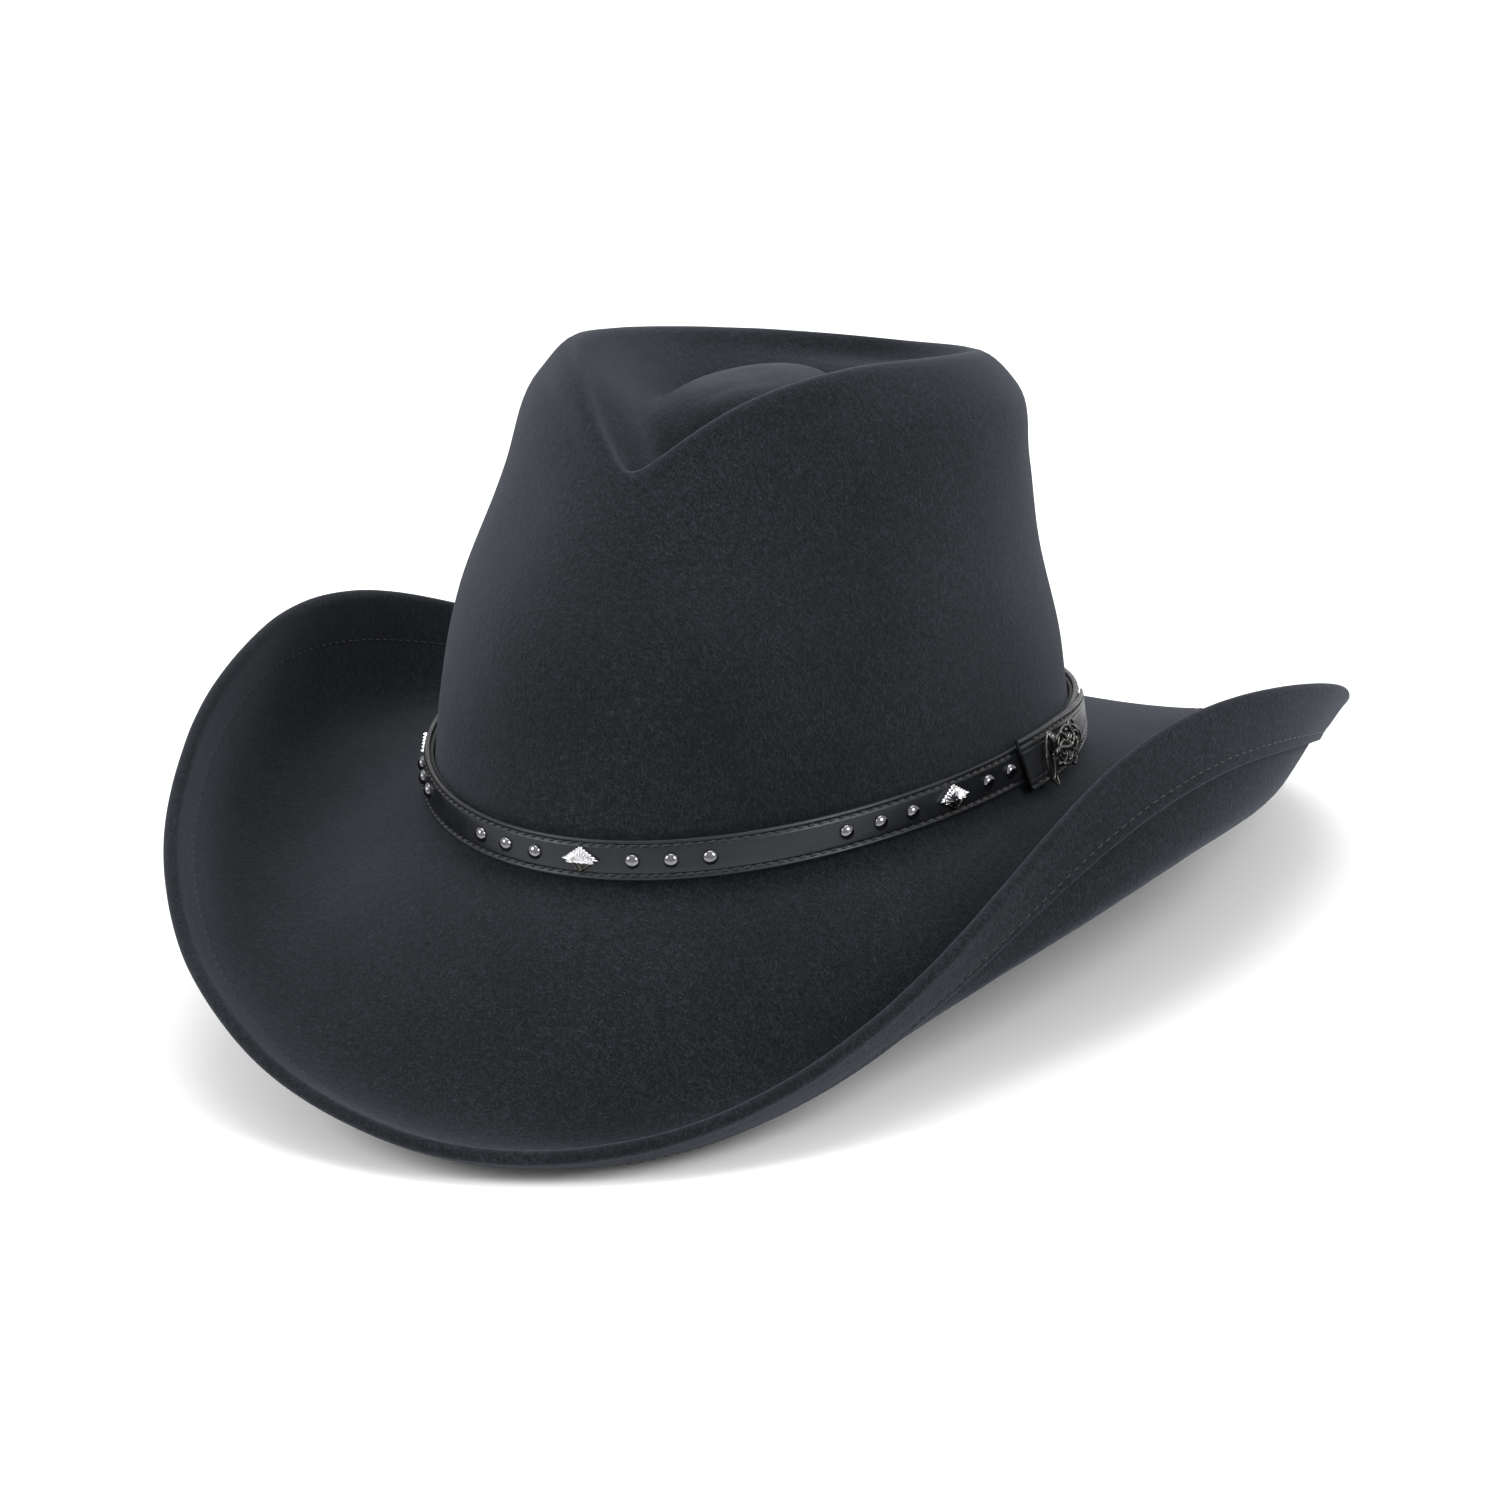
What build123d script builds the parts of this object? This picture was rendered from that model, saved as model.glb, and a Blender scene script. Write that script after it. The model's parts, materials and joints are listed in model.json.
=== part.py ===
from build123d import *
import os
from math import asin, cos, exp, hypot, pi, radians, sin

# Felt cowboy hat with a studded leather band, size 57 (7 1/8).
# Millimetres, +Z up, the front towards -Y, the wearer's left towards +X.
# The hat stands on the front and back of its brim, with its lowest point at Z = 0.

os.makedirs("parts", exist_ok=True)

# ---- driving sizes -------------------------------------------------------------------------------
FELT = 2.2                        # thickness of the wool felt
FOOT_LONG, FOOT_WIDE = 104.0, 84.7    # half length and half width of the crown's foot, outside
FOOT_LEVEL = (-8.3, -4.4, 0.0, -2.6, -5.7)   # its level at front, front quarter, side, back quarter, back

# Brim, each at front, front quarter, side, back quarter, back
RIM_REACH = (68.8, 61.2, 52.7, 76.6, 71.7)   # how far the rim is out from the foot, seen from above
RIM_LEVEL = (-59.0, -18.6, 25.2, -4.4, -33.1)
REACH_SWING = (-6.4, -8.3)        # how far the left side is rolled in, and the left front with it
LEVEL_SWING = (-3.6, -4.9)        # how much the same two stand lower than on the right
SLOPE_IN = (-28.0, -30.0, -19.0, -11.0, -9.0)     # slope where the brim leaves the crown, degrees
PULL_IN = (97.0, 120.0, 140.0, 110.0, 83.0)       # how long it keeps that slope
SLOPE_RIM = (30.3, 67.3, 112.4, 36.6, -31.4)      # slope at the rim, degrees
PULL_RIM = (117.7, 116.9, 144.9, 110.4, 90.6)
BRIM_WIDTH = 86.0
EDGE_ROLL = 2.1                   # radius of the turned-under edge
HEM = 11.0                        # width of the felt that is turned under

# Crown
WALL_LEVEL = 55.3                 # height of the middle of the wall
WALL_LONG, WALL_WIDE = 95.9, 76.2
CREST_LONG, CREST_WIDE, CREST_BACK = 77.6, 47.0, 11.7    # teardrop ridge, and how far back it sits
CREST_BLUNT = 0.02                # 0 makes the front of the teardrop a sharp point
CREST_LEVEL, CREST_FALL = 132.4, 32.4       # its height, and how much it falls towards the back
PINCH_DROP, PINCH_SPREAD = 34.3, 45.8       # the dip at the front pinch, and its spread in degrees
PINCH_DENT = 3.7                  # finger dents either side of the front
SHOULDER_OUT = (6.3, 8.7, 13.9, 10.7, 4.2)
SHOULDER_DROP = (7.2, 8.8, 9.1, 9.6, 9.1)
CHANNEL_DROP = (7.0, 13.0, 17.0, 13.0, 9.0)       # depth of the crease inside the ridge
ISLAND_LEVEL, ISLAND_BACK = 109.0, 4.0      # the mound inside the crease

HOOP_POINTS = 48                  # points round each hoop of the felt
LINE_STEPS = (1,) * 16 + (3, 3, 4, 3, 2, 1, 2, 2, 1, 2, 3)     # hoops between the knots of its line

# Wire and thread of the brim's edge
WIRE = 1.2                        # diameter of the spring wire
WIRE_CHANNEL = 1.1                # radius of the channel that it lies in
HEM_SLIT = 0.3                    # gap between the turned-under felt and the brim
WIRE_GAP = 0.004                  # half the gap between its ends, as a turn in radians
FERRULE_INSIDE, FERRULE_OUTSIDE, FERRULE_TURN = 0.66, 0.9, 0.032
THREAD, THREAD_LIFT = 0.3, 0.36   # radius of the thread, and its middle's height above the surface
HEM_SEAM, HEM_LIFT = 0.895, 0.42  # the hem's seam, as a share of the brim's width, and its height
HEM_THREAD = 0.22                 # radius of its finer thread

# Sweatband: how far its faces are out from the foot, its edges above the foot, and its lean
SWEAT_IN, SWEAT_OUT = -3.85, -2.65
SWEAT_LOW, SWEAT_HIGH = 1.0, 32.0
SWEAT_LEAN = 0.14
SEAM_GAP, SEAM_TAPE, SEAM_LEVEL = 0.005, 0.035, 3.5
REED, REED_LEVEL = 0.8, -0.1
BOW_LEVEL, BOW_LOOP, BOW_DEPTH = 10.0, 9.0, 1.6

# Lining
LINING = 0.5                      # thickness
LINING_LOW, LINING_OUT = 33.0, -7.6
TIP_LEVEL, TIP_LONG, TIP_WIDE, TIP_BACK = 80.0, 75.0, 60.0, 7.0
PIPING = 0.7
SHIELD, SHIELD_SIZE, SHIELD_GAP = 0.3, 34.0, 0.3

# Hatband: faces out from the foot, edges above the foot, and distances along it from the front
WALL_LEAN = 0.1
BACKING_IN, BACKING_OUT = 0.6, 1.4
STRAP_IN, STRAP_OUT, STRAP_LOW, STRAP_HIGH = 1.5, 3.1, 4.2, 15.2
STITCH_EDGE = 1.5
TAB_IN, TAB_OUT, TAB_LOW, TAB_HIGH = 3.4, 5.2, 2.0, 17.4
TAB_FROM, TAB_TO = 141.5, 212.0
TAB_FULL, TAB_NARROW = 0.3, 0.58  # it keeps its full height this far, then narrows to this share
TAB_SEAM = 1.5                    # from its seam to its edge
GROUP_FIRST, GROUP_PITCH = 2.4, 110.7
GROUP_STUDS = (14.8, 25.5, 36.1)  # studs either side of each diamond
STUD, STUD_HEIGHT, STUD_EDGE = 4.2, 1.5, 0.3
CONCHO_LONG, CONCHO_HIGH, CONCHO_RISE, FLUTES = 11.0, 7.4, 1.5, 24
ORNAMENT_AT, ORNAMENT = 163.0, 1.3
ORNAMENT_LIFT = 0.75              # its back stands this far off the tab, over the tab's two rows of thread
RIVET_SPOTS = ((-5.2, 0.0), (7.4, 0.0))
RIVET, RIVET_DEPTH = 0.65, 2.5    # its radius, and how deep it goes behind the ornament


# ---- shape of the felt ---------------------------------------------------------------------------
def round_hat(values, angle):
    """The smooth curve round the hat through its front, quarter, side and back values."""
    last = len(values) - 1
    total = 0.0
    for wave in range(last + 1):
        part = sum(value * cos(wave * k * pi / last) * (0.5 if k in (0, last) else 1.0)
                   for k, value in enumerate(values))
        total += part * 2 / last * cos(wave * angle) * (0.5 if wave in (0, last) else 1.0)
    return total


def foot(angle, out=0.0, up=0.0):
    """A point by the crown's foot: angle 0 is the front, a quarter turn is the wearer's left."""
    side, front = FOOT_LONG * sin(angle), -FOOT_WIDE * cos(angle)
    size = hypot(side, front)
    return (FOOT_WIDE * sin(angle) + out * side / size,
            -FOOT_LONG * cos(angle) + out * front / size,
            round_hat(FOOT_LEVEL, angle) + up)


def swing(sizes, angle):
    """How the hat's left side differs from its right side at this angle."""
    return sizes[0] * sin(angle) + sizes[1] * sin(2 * angle)


def brim_point(along, angle):
    """A point on top of the brim, along = 0 at the crown and 1 at the rim."""
    reach = round_hat(RIM_REACH, angle) - EDGE_ROLL + swing(REACH_SWING, angle)
    rise = round_hat(RIM_LEVEL, angle) - round_hat(FOOT_LEVEL, angle) + swing(LEVEL_SWING, angle)
    first, final = radians(round_hat(SLOPE_IN, angle)), radians(round_hat(SLOPE_RIM, angle))
    pull_in, pull_rim = round_hat(PULL_IN, angle), round_hat(PULL_RIM, angle)
    start = along**3 - 2 * along**2 + along
    middle = 3 * along**2 - 2 * along**3
    end = along**3 - along**2
    out = middle * reach + start * pull_in * cos(first) + end * pull_rim * cos(final)
    up = middle * rise + start * pull_in * sin(first) + end * pull_rim * sin(final)
    return foot(angle, out, up)


def crest(angle, size=1.0, length=1.0):
    """A point above the teardrop ridge of the crown, or inside it when size is below 1."""
    turned = abs((angle + pi) % (2 * pi) - pi)
    point = (sin(angle / 2) ** 2 + CREST_BLUNT) ** 0.25
    across = CREST_WIDE * 1.175 * sin(angle) * point * (1 + 0.06 * cos(angle) - 0.06 * cos(2 * angle))
    level = (CREST_LEVEL - PINCH_DROP * exp(-((turned * 180 / pi / PINCH_SPREAD) ** 2))
             - CREST_FALL * (1 - cos(angle)) / 2)
    return across * size, CREST_BACK - CREST_LONG * cos(angle) * length, level


def felt_knots(angle):
    """Chosen points of the felt's top side at one angle, from the rim to the mound in the crease."""
    line = [brim_point(along, angle) for along in
            (1.0, 0.95, 1 - HEM / BRIM_WIDTH, 0.84, 0.77, 0.68, 0.58, 0.48, 0.38, 0.28, 0.18, 0.10, 0.045)]
    line.append(foot(angle, 0.9, 0.9))
    line += [foot(angle, -0.1 * up, up) for up in (4.0, 9.0, 16.0)]
    foot_x, foot_y, foot_z = foot(angle)
    wall_x, wall_y = WALL_WIDE * sin(angle), 0.5 - WALL_LONG * cos(angle)
    ridge_x, ridge_y, ridge_z = crest(angle)
    out_x, out_y = sin(angle), -cos(angle)
    out = round_hat(SHOULDER_OUT, angle)
    drop = round_hat(SHOULDER_DROP, angle)
    edge_x, edge_y = ridge_x + out_x * out, ridge_y + out_y * out
    turned = abs((angle + pi) % (2 * pi) - pi) * 180 / pi
    dent = PINCH_DENT * exp(-(((turned - 42) / 22) ** 2))
    line.append((0.515 * foot_x + 0.5 * wall_x, 0.515 * foot_y + 0.5 * wall_y, (foot_z + WALL_LEVEL) / 2))
    line.append((wall_x - out_x * dent / 2, wall_y - out_y * dent / 2, WALL_LEVEL))
    line.append(((0.45 * wall_x + 0.55 * edge_x) * 1.01 - out_x * dent,
                 (0.45 * wall_y + 0.55 * edge_y) - out_y * dent,
                 0.45 * WALL_LEVEL + 0.55 * (ridge_z - drop)))
    line.append((edge_x - out_x * dent * 0.3, edge_y - out_y * dent * 0.3, ridge_z - drop))
    line.append((ridge_x, ridge_y, ridge_z))
    channel = ridge_z - round_hat(CHANNEL_DROP, angle)
    for size, length, level in ((0.90, 0.94, ridge_z - 3.5), (0.74, 0.80, 0.4 * ridge_z + 0.6 * channel),
                                (0.56, 0.62, channel)):
        x, y, z = crest(angle, size, length)
        line.append((x, y, level))
    for size, length, share in ((0.47, 0.52, 0.30), (0.32, 0.38, 0.76), (0.12, 0.15, 1.0)):
        x, y, z = crest(angle, size, length)
        level = channel * (1 - share) + ISLAND_LEVEL * share
        line.append((x, y - CREST_BACK + CREST_BACK * (1 - share) + ISLAND_BACK * share, level))
    return line


def minus(a, b):
    return tuple(p - q for p, q in zip(a, b))


def unit(a):
    size = hypot(*a)
    return tuple(p / size for p in a)


def cross(a, b):
    return (a[1] * b[2] - a[2] * b[1], a[2] * b[0] - a[0] * b[2], a[0] * b[1] - a[1] * b[0])


def along_line(line, k):
    """Direction of the line at its point k, towards the crown."""
    before, here, after = line[max(k - 1, 0)], line[k], line[min(k + 1, len(line) - 1)]
    first, second = minus(here, before), minus(after, here)
    gap_1, gap_2 = hypot(*first), hypot(*second)
    if gap_1 == 0 or gap_2 == 0:
        return unit(minus(after, before))
    return unit(tuple((p * gap_2 / gap_1 + q * gap_1 / gap_2) for p, q in zip(first, second)))


def felt_line(angle):
    """The felt's top side at one angle: the smooth line through its knots, a hoop every 6 mm or so."""
    knots = felt_knots(angle)
    ways = [along_line(knots, k) for k in range(len(knots))]
    line = [knots[0]]
    for k, steps in enumerate(LINE_STEPS):
        gap = hypot(*minus(knots[k + 1], knots[k]))
        for step in range(1, steps + 1):
            t = step / steps
            start, middle, end = t**3 - 2 * t**2 + t, 3 * t**2 - 2 * t**3, t**3 - t**2
            line.append(tuple(p * (1 - middle) + q * middle + gap * (start * v + end * w)
                              for p, q, v, w in zip(knots[k], knots[k + 1], ways[k], ways[k + 1])))
    return line


def felt_frame(angle):
    """For each point of the line: the point, the way up to the crown, and the way out of the felt."""
    step = radians(0.5)
    here, left, right = felt_line(angle), felt_line(angle - step), felt_line(angle + step)
    frames = []
    for k, point in enumerate(here):
        up = along_line(here, k)
        outward = unit(cross(minus(right[k], left[k]), up))
        frames.append((point, up, outward))
    return frames


def shifted(point, *moves):
    """The point moved by each (distance, direction)."""
    for distance, direction in moves:
        point = tuple(p + distance * d for p, d in zip(point, direction))
    return point


ANGLES = [2 * pi * k / HOOP_POINTS for k in range(HOOP_POINTS)]
FRAMES = [felt_frame(angle) for angle in ANGLES]
STATIONS = len(FRAMES[0])
HEM_STATION = 2                   # the station where the turned-under edge ends
BRIM_STATIONS = 10                # the stations from the rim that can touch the table


def skin_points(station, depth):
    """The points round one hoop, at this depth under the felt's top side."""
    return [shifted(frames[station][0], (-depth, frames[station][2])) for frames in FRAMES]


def rim_core(angle):
    """The middle of the rolled edge at this angle."""
    point, up, out_of_felt = felt_frame(angle)[0]
    return shifted(point, (-EDGE_ROLL, out_of_felt))


def roll_points(turn):
    """The points round the rolled edge: turn 0 is on top, half a turn is underneath."""
    points = []
    for frames in FRAMES:
        point, up, out_of_felt = frames[0]
        points.append(shifted(point, (EDGE_ROLL * (cos(turn) - 1), out_of_felt), (-EDGE_ROLL * sin(turn), up)))
    return points


# ---- stance: the hat leans back until its brim stands on the table in front and behind ------------
def leaned(point, lean):
    x, y, z = point
    return x, y * cos(lean) - z * sin(lean), y * sin(lean) + z * cos(lean)


UNDERSIDE = [roll_points(pi * turn / 8) for turn in (4, 5, 6, 7, 8)]
UNDERSIDE += [skin_points(k, 2 * EDGE_ROLL) for k in (1, HEM_STATION)]
UNDERSIDE += [skin_points(k, FELT) for k in range(HEM_STATION, BRIM_STATIONS)]
FRONT_HALF = [k for k in range(HOOP_POINTS) if cos(ANGLES[k]) > 0]
BACK_HALF = [k for k in range(HOOP_POINTS) if cos(ANGLES[k]) < 0]
LENGTH = 2 * FOOT_LONG + RIM_REACH[0] + RIM_REACH[-1]


def lowest(half, lean):
    """Level of the underside's lowest point in this half of the hat."""
    return min(leaned(points[k], lean)[2] for points in UNDERSIDE for k in half)


LEAN = 0.0
for attempt in range(8):
    LEAN -= (lowest(BACK_HALF, LEAN) - lowest(FRONT_HALF, LEAN)) / LENGTH
OUTLINE = [leaned(point, LEAN) for k in range(STATIONS) for depth in (0, FELT) for point in skin_points(k, depth)]
OUTLINE += [leaned(point, LEAN) for points in UNDERSIDE for point in points]
MIDDLE_X = (min(p[0] for p in OUTLINE) + max(p[0] for p in OUTLINE)) / 2
MIDDLE_Y = (min(p[1] for p in OUTLINE) + max(p[1] for p in OUTLINE)) / 2
FLOOR = min(p[2] for p in OUTLINE)


def stand(point):
    """A point of the hat where it is when the hat stands on its brim."""
    x, y, z = leaned(point, LEAN)
    return Vector(x - MIDDLE_X, y - MIDDLE_Y, z - FLOOR)


# ---- skins between hoops ---------------------------------------------------------------------------
def hoop(points):
    """A smooth closed wire through points that stand at even angles round the hat."""
    spots = [stand(point) for point in points]
    return Wire([Edge.make_spline(spots, periodic=True, parameters=list(range(len(spots) + 1)))])


def closed_solid(skins, lids=()):
    """A solid closed by skins over hoops, each given as (hoops, ruled), and by flat lids."""
    faces = [face for hoops, ruled in skins for face in Shell.make_loft(hoops, ruled=ruled).faces()]
    return Solid(Shell(faces + [Face(rim) for rim in lids]))


def between_rails(rails, closed=True):
    """A solid with a ruled skin between each rail and the next, and flat lids when it is open."""
    if closed:
        edges = [hoop(rail) for rail in rails]
        lids = []
    else:
        edges = [Wire([Edge.make_spline([stand(point) for point in rail])]) for rail in rails]
        lids = [Wire.make_polygon([stand(rail[end]) for rail in rails]) for end in (0, -1)]
    skins = [([edge, edges[(k + 1) % len(edges)]], True) for k, edge in enumerate(edges)]
    return closed_solid(skins, lids)


def cord(points, radius, closed=True, sides=8):
    """A thin cord of this radius along the hoop, or the open line, through the points."""
    rails = []
    last = len(points) - 1
    for side in range(sides):
        turn = 2 * pi * side / sides
        rail = []
        for k, point in enumerate(points):
            after = points[(k + 1) % len(points)] if closed else points[min(k + 1, last)]
            before = points[k - 1] if closed else points[max(k - 1, 0)]
            ahead = unit(minus(after, before))
            across = unit(cross(ahead, (0, 0, 1)))
            upward = cross(across, ahead)
            rail.append(shifted(point, (radius * cos(turn), across), (radius * sin(turn), upward)))
        rails.append(rail)
    return between_rails(rails, closed)


def strip(corners, start=0.0, finish=2 * pi, closed=True, points=72, narrowing=None):
    """A strip round the crown with this outline: each corner is (out, up) from the crown's foot.

    An open strip can narrow: narrowing gives its share of the full height at each share of its length.
    """
    angles = [start + (finish - start) * k / points for k in range(points if closed else points + 1)]
    middle = sum(up for out, up in corners) / 4
    rails = []
    for out, up in corners:
        rail = []
        for k, angle in enumerate(angles):
            height = narrowing(k / points) if narrowing else 1.0
            level = middle + (up - middle) * height
            rail.append(foot(angle, out + WALL_LEAN * (up - level), level))
        rails.append(rail)
    return between_rails(rails, closed)


def tube_along(points, radius, hollow=0.0):
    """A round cord or tube along the smooth open line through the points."""
    with BuildPart() as tube:
        with BuildLine() as path:
            Spline([stand(point) for point in points])
        with BuildSketch(Plane(origin=path.line @ 0, z_dir=path.line % 0)):
            Circle(radius)
            if hollow:
                Circle(hollow, mode=Mode.SUBTRACT)
        sweep()
    return tube.part


def hat_plane(here, ahead):
    """A plane at one point of the hat that faces another, with its own Y upwards."""
    facing = stand(ahead) - stand(here)
    return Plane(origin=stand(here), x_dir=Vector(0, 0, 1).cross(facing), z_dir=facing)


def level_plane(level):
    """A plane across the crown at this level, with its middle at the lining's middle."""
    facing = stand((0, TIP_BACK, level + 1)) - stand((0, TIP_BACK, level))
    return Plane(origin=stand((0, TIP_BACK, level)), x_dir=(1, 0, 0), z_dir=facing)


def turn_at(distance):
    """The angle round the hat at this distance along the strap from the front centre."""
    angle, travelled, step = 0.0, 0.0, radians(0.25)
    while travelled < abs(distance):
        here, there = foot(angle, STRAP_OUT), foot(angle + step, STRAP_OUT)
        travelled += hypot(*minus(there, here))
        angle += step
    return angle if distance > 0 else -angle


def band_plane(distance, out, up=(STRAP_LOW + STRAP_HIGH) / 2):
    """A plane on the band that faces outwards, at this distance along the strap."""
    angle = turn_at(distance)
    return hat_plane(foot(angle, out - WALL_LEAN * up, up), foot(angle, out - WALL_LEAN * up + 1, up + WALL_LEAN))


def band_box(inner, outer, low, high, lean):
    """Corners of an upright strip that leans in with the wall by this much per millimetre."""
    return [(inner - lean * low, low), (outer - lean * low, low),
            (outer - lean * high, high), (inner - lean * high, high)]


# ---- felt ------------------------------------------------------------------------------------------
def channel_points(turn):
    """The points round the wire's channel: turn 0 is towards the crown, a quarter turn downwards."""
    points = []
    for frames in FRAMES:
        point, up, out_of_felt = frames[0]
        points.append(shifted(point, (-EDGE_ROLL - WIRE_CHANNEL * sin(turn), out_of_felt),
                              (WIRE_CHANNEL * cos(turn), up)))
    return points


SLIT_LOW, SLIT_HIGH = asin((FELT + HEM_SLIT - EDGE_ROLL) / WIRE_CHANNEL), asin((FELT - EDGE_ROLL) / WIRE_CHANNEL)
CHANNEL_TURN = 2 * pi - SLIT_LOW + SLIT_HIGH

top_hoops = [hoop(skin_points(k, 0)) for k in range(STATIONS)]
roll_hoops = [top_hoops[0]] + [hoop(roll_points(pi * turn / 4)) for turn in (1, 2, 3, 4)]
hem_hoops = [roll_hoops[-1]] + [hoop(skin_points(k, 2 * EDGE_ROLL)) for k in range(1, HEM_STATION + 1)]
slit_hoops = [hoop(skin_points(k, FELT + HEM_SLIT)) for k in range(HEM_STATION, 0, -1)]
channel_hoops = [hoop(channel_points(SLIT_LOW + CHANNEL_TURN * k / 8)) for k in range(9)]
under_hoops = [hoop(skin_points(k, FELT)) for k in range(1, STATIONS - 1)]
island = [(x, y, ISLAND_LEVEL) for x, y, z in skin_points(STATIONS - 1, 0)]
under_hoops.append(hoop([(x, y, z - FELT) for x, y, z in island]))
top_hoops[-1] = hoop(island)

with BuildPart() as felt_body:
    add(closed_solid([(top_hoops, False), (roll_hoops, False), (hem_hoops, False),
                      ([hem_hoops[-1], slit_hoops[0]], True),
                      (slit_hoops + channel_hoops + under_hoops[:1], True),
                      (under_hoops, False)],
                     lids=[top_hoops[-1], under_hoops[-1]]))
felt_body.part.label = "felt_body"
export_step(felt_body.part, "parts/felt_body.step")

with BuildPart() as brim_wire:
    wire_turns = [pi + WIRE_GAP + (2 * pi - 2 * WIRE_GAP) * k / 96 for k in range(97)]
    add(tube_along([rim_core(angle) for angle in wire_turns], WIRE / 2))
brim_wire.part.label = "brim_wire"
export_step(brim_wire.part, "parts/brim_wire.step")

with BuildPart() as wire_ferrule:
    add(tube_along([rim_core(pi + FERRULE_TURN * k) for k in (-1, -0.5, 0, 0.5, 1)],
                   FERRULE_OUTSIDE, hollow=FERRULE_INSIDE))
wire_ferrule.part.label = "wire_ferrule"
export_step(wire_ferrule.part, "parts/wire_ferrule.step")


def hem_row(depth):
    """The line of the hem's stitches, a little outside the hem's edge, at this depth under the top."""
    points = []
    for angle in ANGLES:
        towards_crown = minus(brim_point(HEM_SEAM - 0.01, angle), brim_point(HEM_SEAM + 0.01, angle))
        around = minus(brim_point(HEM_SEAM, angle + 0.01), brim_point(HEM_SEAM, angle - 0.01))
        points.append(shifted(brim_point(HEM_SEAM, angle), (-depth, unit(cross(around, towards_crown)))))
    return points


with BuildPart() as brim_edge_stitching:
    add(cord(hem_row(-HEM_LIFT), HEM_THREAD))
    add(cord(hem_row(2 * EDGE_ROLL + HEM_LIFT), HEM_THREAD))
brim_edge_stitching.part.label = "brim_edge_stitching"
export_step(brim_edge_stitching.part, "parts/brim_edge_stitching.step")


# ---- inside the crown --------------------------------------------------------------------------------
with BuildPart() as sweatband:
    add(strip(band_box(SWEAT_IN, SWEAT_OUT, SWEAT_LOW, SWEAT_HIGH, SWEAT_LEAN),
              pi + SEAM_GAP, 3 * pi - SEAM_GAP, closed=False))
sweatband.part.label = "sweatband"
export_step(sweatband.part, "parts/sweatband.step")

with BuildPart() as sweatband_reed:
    add(cord([foot(angle, (SWEAT_IN + SWEAT_OUT) / 2, REED_LEVEL) for angle in ANGLES], REED))
sweatband_reed.part.label = "sweatband_reed"
export_step(sweatband_reed.part, "parts/sweatband_reed.step")

with BuildPart() as sweatband_stitching:
    add(cord([foot(angle, SWEAT_IN - SWEAT_LEAN * SEAM_LEVEL - THREAD_LIFT, SEAM_LEVEL)
                   for angle in ANGLES], THREAD))
sweatband_stitching.part.label = "sweatband_stitching"
export_step(sweatband_stitching.part, "parts/sweatband_stitching.step")

with BuildPart() as sweatband_seam_tape:
    add(strip(band_box(SWEAT_IN - 0.5, SWEAT_IN - 0.1, SEAM_LEVEL + 1.5, SWEAT_HIGH - 1.0, SWEAT_LEAN),
              pi - SEAM_TAPE, pi + SEAM_TAPE, closed=False, points=6))
sweatband_seam_tape.part.label = "sweatband_seam_tape"
export_step(sweatband_seam_tape.part, "parts/sweatband_seam_tape.step")

bow_plane = hat_plane(foot(pi, SWEAT_IN - 2.8, BOW_LEVEL), foot(pi, SWEAT_IN - 3.8, BOW_LEVEL))
with BuildPart() as sweatband_bow:
    with BuildSketch(bow_plane):
        for side in (1, -1):
            with Locations((side * BOW_LOOP / 2, 0)):
                Ellipse(BOW_LOOP / 2, BOW_LOOP / 4)
            with Locations(Location((side * BOW_LOOP * 0.36, -BOW_LOOP * 0.45), side * 52)):
                Rectangle(BOW_LOOP * 0.9, 2.6)
        Rectangle(3.4, 4.2)
    extrude(amount=BOW_DEPTH)
sweatband_bow.part.label = "sweatband_bow"
export_step(sweatband_bow.part, "parts/sweatband_bow.step")


def lining_points(wall, top):
    """The lining's upper edge when top is true, or its lower edge behind the sweatband."""
    if top:
        return [((TIP_WIDE - wall) * sin(angle), TIP_BACK - (TIP_LONG - wall) * cos(angle), TIP_LEVEL)
                for angle in ANGLES]
    return [foot(angle, LINING_OUT - wall, LINING_LOW) for angle in ANGLES]


lining_hoops = [hoop(lining_points(wall, top)) for wall, top in
                ((0, False), (0, True), (LINING, True), (LINING, False))]
with BuildPart() as lining_side:
    add(closed_solid([([lining_hoops[k], lining_hoops[(k + 1) % 4]], True) for k in range(4)]))
lining_side.part.label = "lining_side"
export_step(lining_side.part, "parts/lining_side.step")

with BuildPart() as lining_tip:
    with BuildSketch(level_plane(TIP_LEVEL - LINING)):
        Ellipse(TIP_WIDE - 1.0, TIP_LONG - 1.0)
    extrude(amount=LINING)
lining_tip.part.label = "lining_tip"
export_step(lining_tip.part, "parts/lining_tip.step")

with BuildPart() as lining_piping:
    add(cord([((TIP_WIDE - 2.4) * sin(angle), TIP_BACK - (TIP_LONG - 2.4) * cos(angle),
                    TIP_LEVEL - LINING - PIPING - 0.1) for angle in ANGLES], PIPING))
lining_piping.part.label = "lining_piping"
export_step(lining_piping.part, "parts/lining_piping.step")

with BuildPart() as tip_shield:
    with BuildSketch(level_plane(TIP_LEVEL - LINING - SHIELD_GAP - SHIELD)):
        diamond = RegularPolygon(SHIELD_SIZE, 4)
        fillet(diamond.vertices(), radius=4.0)
    extrude(amount=SHIELD)
tip_shield.part.label = "tip_shield"
export_step(tip_shield.part, "parts/tip_shield.step")


# ---- hatband -----------------------------------------------------------------------------------------
STRAP_JOIN, STRAP_GAP = turn_at((TAB_FROM + TAB_TO) / 2), 0.004

with BuildPart() as band_strap:
    add(strip(band_box(STRAP_IN, STRAP_OUT, STRAP_LOW, STRAP_HIGH, WALL_LEAN),
              STRAP_JOIN + STRAP_GAP, STRAP_JOIN + 2 * pi - STRAP_GAP, closed=False, points=96))
band_strap.part.label = "band_strap"
export_step(band_strap.part, "parts/band_strap.step")

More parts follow.
